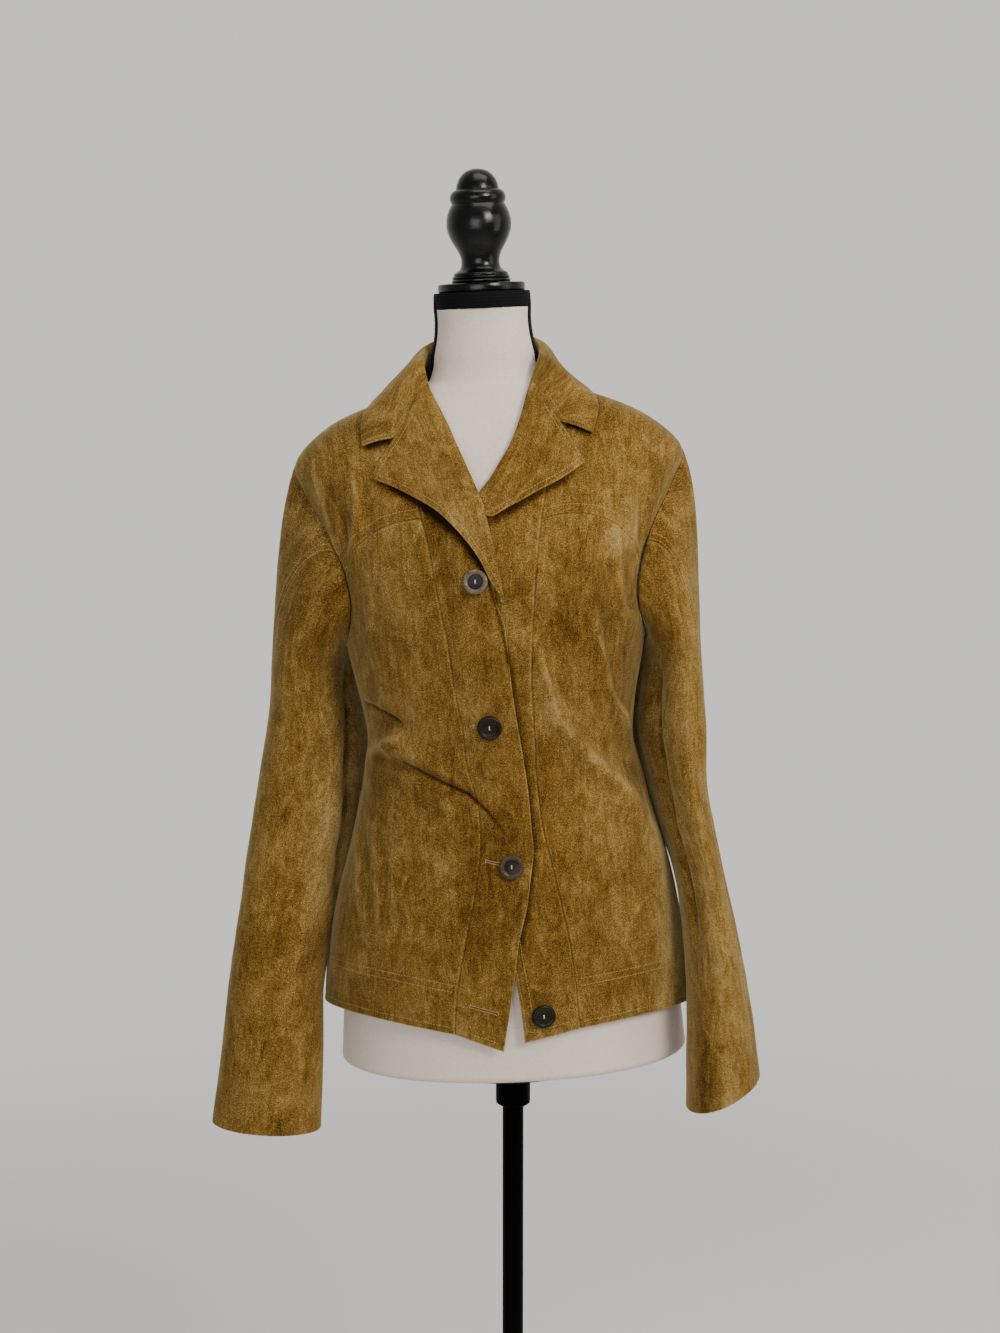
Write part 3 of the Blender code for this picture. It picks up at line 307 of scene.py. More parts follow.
# ---- Smaller folds, laid over those of the solids ---------------------------
# Columns as in BODY_FOLDS.
FINE_FOLDS = [
    (-92, 1064, -112, 1030, 4.0, 1.2),
    (-124, 1050, -139, 1000, 4.0, -1.4),
    (-60, 1001, -46, 958, 6.0, 0.9),
    (-134, 1205, -129, 1260, 3.5, 1.1),
    (-142, 1215, -139, 1285, 3.5, -1.2),
    (-149, 1228, -151, 1290, 3.2, 1.2),
    (-120, 1232, -116, 1282, 5.0, -0.9),
    (138, 1225, 136, 1290, 3.5, 1.1),
    (146, 1218, 147, 1292, 3.5, -1.2),
    (124, 1222, 118, 1270, 5.0, 0.9),
    (33, 1156, 60, 1066, 4.0, 1.2),
    (60, 1066, 100, 1012, 4.0, 1.3),
    (88, 1180, 100, 1110, 4.0, 1.0),
    (52, 1048, 84, 1000, 4.5, -1.3),
    (110, 1050, 140, 985, 5.0, -1.2),
    (-30, 975, -44, 905, 6.0, 0.8),
    (62, 930, 84, 850, 8.0, 0.9),
    (120, 900, 132, 830, 7.0, 0.9),
    (-110, 930, -118, 850, 8.0, 0.9),
]
# The same on both sleeves' hind sides, then each sleeve's own. Degrees round it, as in SLEEVE_FOLDS.
HIND_FINE_FOLDS = [(-40, 1040, -90, 1010, 5, -1.2), (-100, 1000, -150, 940, 7, 1.0)]
SLEEVE_FINE_FOLDS = {
    "right": [(20, 1060, 70, 1042, 4, -1.4), (35, 1005, 88, 975, 4, -1.2), (75, 985, 96, 900, 6, 1.0),
              (100, 1130, 135, 1100, 5, 0.8), (48, 900, 58, 800, 6, -1.0), (90, 850, 104, 760, 8, 0.8),
              *HIND_FINE_FOLDS, (120, 1000, 128, 880, 9, 0.7)],
    "left": [(55, 1100, 60, 1010, 4, -1.8), (60, 1000, 56, 900, 4, -1.5), (80, 1060, 92, 960, 6, 1.0),
             (50, 880, 46, 800, 5, -1.0), (100, 840, 112, 740, 8, 0.9), *HIND_FINE_FOLDS,
             (96, 940, 100, 860, 7, -0.8)],
}
# Sharp folds: places of x and height, rise, width to the left and right of the line, and tone on the line:
# painted shade in a crease where negative, and where positive a lighter ridge, partly wear and partly painted
# highlight.
# The sleeves' have degrees round them for x.
FRONT_CREASES = [
    ([(-116, 1034), (-99, 1028), (-80, 1020), (-57, 1009), (-34, 999), (-17, 984), (-4, 967), (6, 952)],
     -2.4, 2.6, 4.0, -0.72),
    ([(-120, 1044), (-98, 1037), (-76, 1029), (-54, 1019), (-34, 1009)], 2.8, 6.5, 4.5, 0.16),
    ([(-118, 1021), (-94, 1010), (-64, 994), (-40, 982)], 1.6, 7.0, 7.0, 0.08),
    ([(-141, 1080), (-124, 1079), (-106, 1073), (-92, 1064)], -3.4, 2.8, 3.4, -0.95),
    ([(-90, 1059), (-108, 1049), (-124, 1038), (-136, 1020), (-142, 998)], 4.2, 6.5, 8.0, 0.62),
    ([(-120, 1215), (-120, 1140), (-112, 1100), (-98, 1062)], 1.8, 8.0, 8.0, 0.26),
    ([(-22, 1242), (-9, 1221), (-3.8, 1205.5), (1.5, 1184), (6.6, 1160), (11, 1134), (13.4, 1106)],
     -1.0, 2.0, 2.0, -0.65),
    ([(92, 1200), (96, 1167), (100, 1141), (107, 1094), (113, 1078), (122, 1064), (132, 1027)],
     3.0, 3.2, 8.0, 0.36),
    ([(101, 1176), (106, 1141), (113, 1096), (121, 1076), (131, 1056)], -1.8, 4.0, 4.0, -0.16),
    ([(36, 1165), (42, 1143), (49, 1097), (57, 1068), (79, 1035), (105, 1006), (124, 985), (139, 960),
      (149, 934), (156, 903), (161, 868), (165, 830)], 3.8, 7.5, 12.0, 0.32),
    ([(66, 1072), (88, 1046), (112, 1022), (134, 996)], -1.6, 5.0, 5.0, -0.10),
    ([(121, 1262), (122, 1207), (125, 1165), (127, 1138)], 2.2, 4.0, 6.0, 0.26),
    ([(104, 1258), (112, 1215), (108, 1180)], -1.5, 5.0, 5.0, -0.12),
    ([(-172, 1322), (-168, 1295), (-160, 1272), (-153, 1248), (-147, 1226)], 2.0, 3.4, 3.4, 0.30),
    ([(-160, 1318), (-150, 1285), (-142, 1262), (-138, 1236)], -2.0, 3.6, 3.6, -0.22),
    ([(-132, 1320), (-129, 1290), (-131, 1258), (-138, 1226)], 2.2, 4.6, 5.0, 0.30),
    ([(-121, 1312), (-118, 1280), (-121, 1246)], -1.5, 4.5, 4.5, -0.16),
    ([(134, 1218), (136, 1250), (132, 1290)], 2.0, 3.4, 3.4, 0.18),
    ([(143, 1222), (145, 1255), (144, 1292)], -1.7, 3.2, 3.2, -0.16),
    ([(96, 1044), (99, 1020), (97, 1003)], 1.3, 2.6, 2.6, 0.12),
    ([(108, 1040), (112, 1018), (118, 1000)], 1.2, 2.6, 2.6, 0.12),
    ([(70, 986), (86, 975), (96, 964)], -1.1, 3.0, 3.0, -0.10),
    ([(-150, 960), (-147, 912), (-150, 868)], 1.8, 3.2, 3.2, 0.24),
    ([(-141, 975), (-137, 915), (-139, 852)], -1.4, 3.0, 3.0, -0.14),
    ([(-131, 968), (-128, 905), (-127, 840)], 1.6, 3.2, 3.2, 0.22),
    ([(-121, 960), (-119, 925), (-120, 885)], -1.3, 2.8, 2.8, -0.22),
    ([(-112, 950), (-110, 915), (-112, 880)], 1.2, 3.0, 3.0, 0.16),
    ([(-60, 1006), (-52, 975), (-42, 945)], 1.5, 5.0, 5.0, 0.10),
]
SLEEVE_CREASES = {
    "right": [([(20, 1128), (28, 1112), (38, 1084), (51, 1030), (47, 982), (38, 920), (24, 862)],
               -4.2, 3.0, 3.4, -0.62),
              ([(34, 1105), (46, 1078), (59, 1030), (55, 982), (46, 920)], 1.6, 4.0, 6.0, 0.10),
              ([(62, 1010), (70, 930), (68, 860), (74, 790)], 1.5, 5.0, 7.0, 0.14)],
    "left": [([(52, 1122), (60, 1105), (72, 1030), (67, 960), (57, 890), (50, 835)], -3.8, 3.0, 3.4, -0.85),
             ([(68, 1105), (80, 1030), (75, 960), (65, 890), (58, 840)], 2.0, 3.4, 6.0, 0.22),
             ([(112, 1080), (118, 1000), (116, 920)], 1.6, 5.0, 6.0, 0.14),
             ([(24, 1110), (34, 1040), (38, 980)], -1.6, 3.4, 3.4, -0.30)],
}
# Painted contact shadows under the lapels' and the collar's edges, and beside the right front's edge where it
# lies over the left front.
LAP_SHADOW = [([(1.5, 806), (6, 824), (11, 854), (20, 888), (24, 913), (28, 942), (27, 961), (25, 1001),
                (22, 1031), (17, 1071), (13, 1112), (10.5, 1154), (9, 1180)], 0, 7, 7, -0.60)]
UNDER_EDGE_SHADOWS = [
    ([(-122, 1334), (-113, 1336), (-103, 1338.5), (-90, 1341.5)], 0, 4.5, 4.5, -1.3),
    ([(72, 1347.5), (82, 1346.5), (92, 1343), (103, 1337.5)], 0, 4.5, 4.5, -1.3),
    ([(-118, 1304.5), (-93, 1296.5), (-65.5, 1281.5), (-47, 1267.5), (-28.5, 1249.5), (-9, 1221.5),
      (-4, 1206)], 0, 7, 7, -1.3),
    ([(-10, 1254.5), (14, 1271), (30, 1278), (48, 1286.5), (68, 1295.5), (91, 1309.5)], 0, 6.5, 6.5, -0.8),
]
# Where the nap is rubbed light or lies dark, and where light and shade are painted on: x and height of the
# middle, half width and height, tone.
FRONT_NAP_AND_PAINTED_LIGHT = [
    (-16, 900, 30, 78, -0.26), (-50, 852, 26, 60, -0.09), (-6, 1125, 12, 70, -0.12),
    (94, 1116, 33, 64, -0.25), (-6, 1012, 20, 60, -0.12), (-84, 1170, 18, 60, 0.14),
    (-28, 1190, 16, 44, -0.16), (64, 1128, 18, 50, -0.10), (176, 880, 16, 70, 0.14),
    (-158, 1208, 10, 24, 0.20), (123, 1240, 14, 18, 0.18),
    (62, 950, 20, 50, -0.14), (84, 880, 22, 50, -0.13), (-76, 1000, 22, 30, -0.14), (140, 928, 14, 30, 0.20),
    (-50, 932, 20, 28, 0.18), (-112, 1066, 12, 20, -0.18), (14, 1196, 22, 26, -0.12),
    (42, 1110, 12, 40, 0.32), (192, 1000, 26, 70, 0.20), (162, 928, 14, 26, 0.20), (9, 890, 10, 60, -0.14),
    (108, 1235, 24, 34, 0.18), (-113, 1190, 30, 32, 0.18), (-83, 1308, 26, 22, 0.13),
    (-70, 1016, 30, 24, -0.20), (88, 1301, 30, 18, 0.10), (-143, 905, 13, 80, 0.12), (163, 840, 18, 90, 0.60),
]
# The same on the sleeves, in degrees round them and height.
SLEEVE_NAP_AND_PAINTED_LIGHT = {
    "right": [(74, 905, 32, 66, -0.24), (100, 715, 60, 50, -0.08), (80, 1190, 28, 60, -0.10),
              (90, 1060, 26, 44, -0.14), (84, 838, 34, 40, 0.17)],
    "left": [(100, 880, 150, 260, 0.09), (95, 1100, 60, 56, 0.16), (98, 700, 22, 70, 0.48),
             (56, 690, 18, 50, -0.34), (100, 1236, 60, 32, -0.20), (125, 1150, 25, 60, 0.16),
             (92, 960, 20, 120, 0.13)],
}
LAPEL_NAP = {"right": 0.05, "left": 0.06}
HEM_FLARE = 8.5 * MM     # how far the right side's hem stands out, beyond the solid's
FLARE_FROM, FLARE_RUN, FLARE_SPREAD = 0.93, 0.16, 0.45  # its top, the height it grows over, half its angle
INSIDE_PAINTED_LIGHT = {"right": 0.55, "left": 0.24}  # painted light on the sleeves' inner sides, which lie in shade beside the body
INSIDE_LOW, INSIDE_HIGH, INSIDE_LOW_FADE, INSIDE_HIGH_FADE = 0.84, 1.12, 0.06, 0.05  # its heights, and fades
SEWN_GAP = 0.30 * MM     # between a lapel's top and the collar, along the gorge
TAPER, TAPER_LEAST = 0.15, 0.12  # share of a lapel, at its break, over which it narrows, and to what share
ROLL_FULL_WIDTH, ROLL_LEAST = 0.030, 0.55   # a lapel this wide has the whole turn, a narrow one this share
ROLL_SCALE = {"right": 1.0, "left": 0.9}
MIDDLE_MOST, MIDDLE_LEAST, MIDDLE_PER = 0.75, 0.5, 0.1   # how far across its middle lies: less where wider
LAPEL_SPRINGS = 1.9 * MM  # how far the middle of a lapel's edge stands off the front
COLLAR_SPRINGS = 2.6 * MM  # the same of the collar's end
COLLAR_WORN, COLLAR_WORN_RUN = -0.25, 1.6 * MM  # tone of the collar's edge
# The turn of a lapel at its roll, before its middle and edge: how far out from the roll and above the body,
# in metres. The first point lies half a cloth under the body's surface.
ROLL_OUT = (0.0040, -0.0004, -0.0008, 0.0034)
ROLL_LIFT = (0.0012, 0.0036, 0.0056)

# ==== Curves and surfaces ====================================================

def smooth_curve(places, values):
    """A smooth function through the given values (Hermite pieces with parabolic slopes)."""
    places = np.asarray(places, float)
    values = np.asarray(values, float)
    step = np.diff(places)
    rate = np.diff(values) / step
    slope = np.empty_like(values)
    slope[1:-1] = (rate[:-1] * step[1:] + rate[1:] * step[:-1]) / (step[1:] + step[:-1])
    slope[0], slope[-1] = rate[0], rate[-1]

    def value(place):
        place = np.asarray(place, float)
        k = np.clip(np.searchsorted(places, place) - 1, 0, len(step) - 1)
        t = np.clip((place - places[k]) / step[k], 0.0, 1.0)
        return hermite(values[k], slope[k] * step[k], values[k + 1], slope[k + 1] * step[k], t)

    return value


def hermite(start, start_slope, end, end_slope, t):
    return ((2 * t**3 - 3 * t**2 + 1) * start + (t**3 - 2 * t**2 + t) * start_slope
            + (3 * t**2 - 2 * t**3) * end + (t**3 - t**2) * end_slope)


def column(table, columns, name):
    return np.array([row[columns.index(name)] for row in table], float)


def by_height(table, columns, name):
    """One column of a table in millimetres as a smooth function of height in metres."""
    return smooth_curve(column(table, columns, "height") * MM, column(table, columns, name) * MM)


def ease(value):
    value = np.clip(value, 0.0, 1.0)
    return value * value * (3 - 2 * value)


def unit(vectors):
    return vectors / np.maximum(np.linalg.norm(vectors, axis=-1, keepdims=True), 1e-12)


def walked(line):
    """Distance along a line of points, at each of them."""
    return np.concatenate([[0.0], np.cumsum(np.linalg.norm(np.diff(line, axis=0), axis=1))])


def read_at(at, places, line):
    """Points of a line at other places than those that its own points have."""
    return np.stack([np.interp(at, places, line[:, k]) for k in range(line.shape[1])], axis=-1)


def along(points, fractions):
    """Points at the given fractions of the length of a smooth line through the given points."""
    points = np.asarray(points, float)
    gone = walked(points)
    axes = [smooth_curve(gone / gone[-1], points[:, k])(fractions) for k in range(points.shape[1])]
    return np.stack(axes, axis=-1)


HALF_WIDTH = by_height(BODY_RINGS, BODY_COLUMNS, "half_width")
FRONT_DEPTH = by_height(BODY_RINGS, BODY_COLUMNS, "front")
BACK_DEPTH = by_height(BODY_RINGS, BODY_COLUMNS, "back")


def ring_point(angle, height, half_width, front, back):
    """Point of a ring: angle 0 is the front middle, 90 degrees the +X side."""
    turn_x, turn_y = np.sin(angle), np.cos(angle)
    depth = np.where(turn_y > 0, front, back)
    reach = np.maximum(1 - np.abs(turn_x) ** RING_POWER, 0.0) ** (1 / RING_POWER)
    x = half_width * turn_x
    return np.stack([x, -np.sign(turn_y) * depth * reach, height + 0 * x], axis=-1)


def body_point(angle, height):
    return ring_point(angle, height, HALF_WIDTH(height), FRONT_DEPTH(height), BACK_DEPTH(height))


def body_normal(angle, height):
    turn, rise = 0.02, 0.002
    across = body_point(angle + turn, height) - body_point(angle - turn, height)
    up = body_point(angle, height + rise) - body_point(angle, height - rise)
    return unit(np.cross(across, up))


def on_body(angle, height, lift=0.0):
    return body_point(angle, height) + body_normal(angle, height) * np.asarray(lift)[..., None]


def front_angle(x, height):
    """The angle at which the front of the ring at this height reaches x."""
    return np.arcsin(np.clip(x / HALF_WIDTH(height), -1.0, 1.0))


def from_front(line, lift=0.0):
    """Points over the front of the body, from rows of x and height."""
    x, height = line[..., 0], line[..., 1]
    return on_body(front_angle(x, height), height, lift)


def segment_relief(across, up, folds, columns):
    """Sum of soft ridges and troughs, each along one straight run, fading at its ends."""
    total = np.zeros(np.broadcast(across, up).shape)
    for row in folds:
        x0, z0, x1, z1, width, rise = (row[columns.index(name)] * MM for name in columns)
        length = math.hypot(x1 - x0, z1 - z0)
        run = ((across - x0) * (x1 - x0) + (up - z0) * (z1 - z0)) / length**2
        off = ((across - x0) * (z1 - z0) - (up - z0) * (x1 - x0)) / length
        fade = ease((run + FOLD_PAST) / FOLD_FADE) * ease((1 + FOLD_PAST - run) / FOLD_FADE)
        total += rise * fade * np.exp(-(off / width) ** 2)
    return total


def body_relief(angle, height):
    """How far the largest folds move the cloth in or out, on the front and, turned, on the back."""
    x = HALF_WIDTH(height) * np.sin(angle)
    front = np.cos(angle) > 0
    seen = np.where(front, x, -x)
    near_side = ease((np.abs(np.cos(angle)) - 0.05) / 0.25)
    relief = segment_relief(seen, height, BODY_FOLDS + FINE_FOLDS, FOLD_COLUMNS)
    return relief * near_side * np.where(front, 1.0, BACK_FOLDS)


# ==== Noise and spacing ======================================================

def noise_at(points, seed):
    """Smooth noise from -1 to 1, at points measured in its own cells."""
    base = np.floor(points).astype(np.int64)
    part = ease(points - base)
    total = np.zeros(points.shape[:-1])
    for corner in np.ndindex(2, 2, 2):
        cell = base + np.array(corner)
        mixed = cell[..., 0] * 73856093 ^ cell[..., 1] * 19349663 ^ cell[..., 2] * 83492791 ^ seed * 7919
        mixed = ((mixed ^ (mixed >> 13)) * 1274126177) & 0x7FFFFFFF
        value = ((mixed ^ (mixed >> 16)) & 0xFFFF) / 32767.5 - 1
        total += value * np.prod(np.where(corner, part, 1 - part), axis=-1)
    return total


def ripple(points):
    """Gentle unevenness that every piece of the blazer shares, so that neighbours move together."""
    return sum(rise * noise_at(points / cell, seed) for rise, cell, seed in RIPPLES) * MM


def flat_noise(across, up, cell, seed):
    return noise_at(np.stack([across, up, 0 * up], axis=-1) / cell, seed)


def creases(across, up, rows):
    """Sharp folds along lines of places: how far they move the cloth, and the tone they paint on it, darker
    in creases and lighter on ridges.

    Each row is the line's places, its rise, how wide it is to the left and right of the line as it is
    walked (all in millimetres), and the tone on the line: negative is painted shade in a crease, positive a
    lighter ridge that is partly wear and partly painted highlight.
    """
    none = np.zeros(np.shape(across))
    move, tone = none.copy(), none.copy()
    uneven = 1 + BLOT * flat_noise(across, up, BLOT_CELL, BLOT_SEED)
    for places, rise, left, right, shade in rows:
        line = np.array(places, float) * MM
        steps = np.linalg.norm(np.diff(line, axis=0), axis=1)
        gone, whole = 0.0, steps.sum()
        near, signed, run = none + np.inf, none, none
        for (x0, z0), (x1, z1), step in zip(line[:-1], line[1:], steps):
            share = ((across - x0) * (x1 - x0) + (up - z0) * (z1 - z0)) / step**2
            share = np.clip(share, 0, 1)
            off_x, off_z = across - x0 - share * (x1 - x0), up - z0 - share * (z1 - z0)
            far = np.hypot(off_x, off_z)
            closer = far < near
            side = np.sign(off_x * (z1 - z0) - off_z * (x1 - x0))
            signed, run = np.where(closer, far * side, signed), np.where(closer, gone + share * step, run)
            near, gone = np.where(closer, far, near), gone + step
        ends = ease(run / (CREASE_FADE * whole)) * ease((whole - run) / (CREASE_FADE * whole))
        width = np.where(signed < 0, left, right) * MM
        move += rise * MM * ends * np.exp(-(near / width) ** 1.5)
        reach = np.clip(CREASE_TONE * min(left, right), CREASE_TONE_LEAST, CREASE_TONE_MOST) * MM
        tone += shade * ends * (uneven if shade > 0 else 1.0) * np.exp(-(near / reach) ** 2)
    return move, tone


def nap_and_painted_light(across, up, rows):
    """Tone of patches of rubbed or dark nap and of painted light and shade, each with a ragged edge."""
    tone = np.zeros(np.shape(across))
    stray = flat_noise(across, up, RAGGED_CELL, RAGGED_SEED)
    for middle, height, wide, tall, shade in rows:
        far = ((across / MM - middle) / wide) ** 2 + ((up / MM - height) / tall) ** 2
        tone += shade * np.exp(-far * (1 + RAGGED * stray))
    return tone


def spaced(length, cell=CELL):
    """Fractions along a length in metres, closer together at both ends."""
    ends = EDGE_STEPS[EDGE_STEPS < length * 0.4]
    inside = length - 2 * ends[-1]
    middle = ends[-1] + np.linspace(0, inside, max(2, round(inside / cell) + 1))
    return np.concatenate([ends[:-1], middle, length - ends[:-1][::-1]]) / length


def even(line, cells):
    """A line of angle and height, divided into equal lengths over the body."""
    fine = read_at(np.linspace(0, len(line) - 1, 400), np.arange(len(line)), line)
    gone = walked(body_point(fine[:, 0], fine[:, 1]))
    return read_at(np.linspace(0, gone[-1], cells + 1), gone, fine)


def by_rows(pieces, rows):
    """A line made of pieces (line, cells), each evenly divided, at row places from 0 to 1 overall."""
    places, lines, start = [], [], 0
    for piece, cells in pieces:
        fine = even(piece, 24 * cells)
        places.append(start + np.linspace(0, cells, len(fine)))
        lines.append(fine)
        start += cells
    return read_at(rows, np.concatenate(places) / start, np.concatenate(lines))


# ==== Seams ==================================================================

ARMHOLE_ANGLE = smooth_curve(column(ARMHOLE, ARMHOLE_COLUMNS, "around"),
                             np.radians(column(ARMHOLE, ARMHOLE_COLUMNS, "angle")))
ARMHOLE_HEIGHT = smooth_curve(column(ARMHOLE, ARMHOLE_COLUMNS, "around"),
                              column(ARMHOLE, ARMHOLE_COLUMNS, "height") * MM)
SIDE = math.pi / 2       # angle of the side and shoulder seams
SIDE_CELLS, LOW_CELLS, HIGH_CELLS, BACK_CELLS = 12, 5, 7, 10
SHOULDER_CELLS, CENTRE_CELLS, NECKLINE_CELLS = 8, 4, 3


def armhole(low, high, sign):
    around = np.linspace(low, high, 60)
    return np.stack([sign * ARMHOLE_ANGLE(around), ARMHOLE_HEIGHT(around)], axis=-1)


def upright(angle, low, high):
    """A line at one angle between two heights."""
    height = np.linspace(low, high, 60)
    return np.stack([np.full_like(height, angle), height], axis=-1)


def seam_line(line, low, high):
    """Angle and height along a line of the fronts, closely spaced."""
    height = np.linspace(low, high, 60)
    x = by_height(line, LINE_COLUMNS, "x")(height)
    return np.stack([front_angle(x, height), height], axis=-1)


def princess(side):
    """The long front seam as two pieces, below and above the chest seam."""
    line = PRINCESS[side]
    low = seam_line(line, line[0][0] * MM, YOKE_JOINT[side])
    high = seam_line(line, YOKE_JOINT[side], line[-1][0] * MM)
    neck = np.array([[SIDE_SIGN[side] * SIDE, SEAM_POINT]])
    return [(low, SIDE_CELLS + LOW_CELLS), (np.concatenate([high, neck]), HIGH_CELLS)]


def patch(inner, outer, columns, bow_low=0.0, bow_high=0.0):
    """Grid of angle and height between two seams, its first and last rows bowed up or down."""
    run = columns[None, :, None]
    grid = inner[:, None, :] * (1 - run) + outer[:, None, :] * run
    row = np.linspace(0, 1, len(inner))[:, None]
    arch = 4 * run[..., 0] * (1 - run[..., 0])
    grid[..., 1] += arch * (bow_high * row**6 + bow_low * (1 - row) ** 4)
    return grid


def lap_lift(x, height):
    """How far the wearer's right front stands off the body where it lies over the left one."""
    seam = by_height(PRINCESS["right"], LINE_COLUMNS, "x")(height)
    edge = FRONT_EDGE["left"]
    under = by_height(edge, LINE_COLUMNS, "x")(np.clip(height, edge[0][0] * MM, edge[-1][0] * MM))
    start = np.maximum(seam + LAP_MARGIN, under - LAP_RUN)
    reach = ease((x - start) / (under - LAP_MARGIN - start))
    lift = LAP_LIFT + (LAP_LIFT_TOP - LAP_LIFT) * ease((height - LAP_OPENS) / LAP_OPENING_RUN)
    return lift * reach * ease((height - LAP_FROM) / LAP_END_RUN) * ease((LAP_ENDS - height) / LAP_END_RUN)


def lift_of(side, x, height):
    return lap_lift(x, height) if side == "right" else np.zeros(np.shape(x))


# ==== Pieces =================================================================

def leaned(points):
    """Points of the leaning part, turned about the middle line at the height where it starts."""
    points = np.asarray(points, float)
    cos, sin = math.cos(LEAN), math.sin(LEAN)
    x, y, z = points[..., 0], points[..., 1], points[..., 2] - LEAN_HEIGHT
    return np.stack([cos * x - sin * z, y, sin * x + cos * z + LEAN_HEIGHT], axis=-1)


def link(name, data):
    thing = bpy.data.objects.new(name, data)
    bpy.context.scene.collection.objects.link(thing)
    return thing


def add(name, points, faces, finish, nodes=()):
    """One visible piece of the object, in the row frame."""
    mesh = bpy.data.meshes.new(name)
    mesh.from_pydata(np.asarray(points, float).tolist(), [], faces)
    mesh.validate()
    for one in finish if isinstance(finish, (list, tuple)) else [finish]:
        mesh.materials.append(one)
    mesh.shade_smooth()
    thing = link(name, mesh)
    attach(thing, "root")
    if nodes:
        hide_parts(*nodes)
    return thing


def grid_faces(rows, cols, start=0, closed=False):
    """Quads of a grid of points; a closed one also joins its last column to its first."""
    place = start + np.arange(rows * cols).reshape(rows, cols)
    if closed:
        place = np.concatenate([place, place[:, :1]], axis=1)
    corners = place[:-1, :-1], place[:-1, 1:], place[1:, 1:], place[1:, :-1]
    return np.stack([c.ravel() for c in corners], axis=-1)


def capped_faces(rows, cols, start=0):
    """Faces of rings of points, closed at both ends."""
    last = start + (rows - 1) * cols
    ends = [list(range(start, start + cols))[::-1], list(range(last, last + cols))]
    return grid_faces(rows, cols, start, closed=True).tolist() + ends


def wall_faces(rows, cols):
    """Faces of a closed wall between two grids of points, the outer grid's points first."""
    place = np.arange(rows * cols).reshape(rows, cols)
    rim = np.concatenate([place[0, :-1], place[:-1, -1], place[-1, :0:-1], place[:0:-1, 0]])
    after = np.roll(rim, -1)
    shell = rows * cols
    return np.concatenate([grid_faces(rows, cols), grid_faces(rows, cols, shell)[:, ::-1],
                           np.stack([after, rim, rim + shell, after + shell], axis=-1)])


def from_side(points, side):
    """Distance of every point of a grid from one of its sides, along the grid."""
    axis = 0 if side in ("bottom", "top") else 1
    step = np.linalg.norm(np.diff(points, axis=axis), axis=-1)
    gone = np.cumsum(step, axis=axis)
    gone = np.concatenate([np.zeros_like(np.take(gone, [0], axis)), gone], axis=axis)
    return gone if side in ("bottom", "left") else np.take(gone, [-1], axis) - gone


def pucker(base, away, side, seed):
    """Small gathers that run in from a sewn side."""
    along_side = from_side(base, "left" if side in ("bottom", "top") else "bottom") / PUCKER_CELL
    wave = noise_at(np.stack([along_side, 0 * along_side + 0.5, 0 * along_side], axis=-1), seed)
    return PUCKER * wave * np.exp(-away / PUCKER_REACH) * away / (away + PUCKER_START)


# What each side of a piece is: a plain seam, a finished edge, or hidden under another piece.
SEAM, EDGE, HIDDEN = "seam", "edge", "hidden"
TURNED_SIDES = {"left": HIDDEN, "right": EDGE, "bottom": EDGE, "top": EDGE}   # of a lapel and the collar


def cloth(name, base, normal, thick, sides, grain, rows_of_stitches=(), puckers=(), tone=0.0, loose=1.0):
    """One cut piece as a closed wall; returns the lines of its top stitching.

    sides says what the left, right, bottom and top of the grid are. rows_of_stitches are pairs of a side
    and a distance from it in millimetres. grain is each point's place across and along the wales. tone
    makes places lighter or darker, with painted shade and highlight as well as nap and wear; loose is 0
    where the first or last row's edge is sewn to a neighbour.
    """
    move, tuck, edge_in = ripple(base), np.zeros(base.shape[:2]), np.zeros(base.shape[:2])
    nearest = np.full(base.shape[:2], 1.0)
    seed = sum(map(ord, name))
    for side, kind in sides.items():
        away = from_side(base, side)
        if kind == SEAM:
            tuck += SEAM_DIP * np.exp(-(away / SEAM_RUN) ** 2)
            tuck -= PUFF * np.exp(-(((away - PUFF_AT) / PUFF_RUN) ** 2))
            nearest = np.minimum(nearest, np.abs(away - SEAM_WORN_AT) + SEAM_WORN_LESS)
            tone = tone - SEAM_TONE * np.exp(-(away / SEAM_TONE_RUN) ** 2)
        if kind == EDGE:
            inward = np.clip(1 - away / EDGE_ROUND, 0, 1)
            free = loose if side in ("bottom", "top") else 1.0
            edge_in = np.maximum(edge_in, free * EDGE_ROUND * (1 - np.sqrt(1 - inward**2)))
            nearest = np.minimum(nearest, away + SEWN_WORN_LESS * (1 - free))
        if side in puckers:
            move = move + pucker(base, away, side, seed)
    for side, distance in rows_of_stitches:
        away = from_side(base, side)
        tuck += STITCH_DIP * np.exp(-(((away - distance * MM) / STITCH_RUN) ** 2))
    outer = base + normal * (move - tuck - edge_in)[..., None]
    inner = base + normal * (move - thick + edge_in)[..., None]
    for grid in (outer, inner):
        for axis in (0, 1):
            turned = np.moveaxis(grid, axis, 0)
            turned[0] += unit(turned[1] - turned[0]) * SEAM_CLEAR
            turned[-1] += unit(turned[-2] - turned[-1]) * SEAM_CLEAR
    outer, inner = leaned(outer), leaned(inner)
    faces = wall_faces(*base.shape[:2])
    facing = np.cross(outer[0, 1] - outer[0, 0], outer[1, 0] - outer[0, 0]) @ (outer[0, 0] - inner[0, 0])
    if facing < 0:
        faces = faces[:, ::-1]
    points = np.concatenate([outer.reshape(-1, 3), inner.reshape(-1, 3)])
    piece = add(name, points, faces.tolist(), CORDUROY, [name.removeprefix("cloth_")])
    across, lengthwise = grain
    layer = np.full_like(across, seed % 97)
    attribute(piece, "grain", "FLOAT_VECTOR", "vector", np.stack([across, lengthwise, layer], axis=-1))
    attribute(piece, "from_edge", "FLOAT", "value", nearest)
    # Stored tone: painted shade, highlight and light, as well as nap and wear.
    attribute(piece, "painted_light_and_wear", "FLOAT", "value", tone + np.zeros(base.shape[:2]))
    return [offset_line(outer, inner, side, distance * MM) for side, distance in rows_of_stitches]


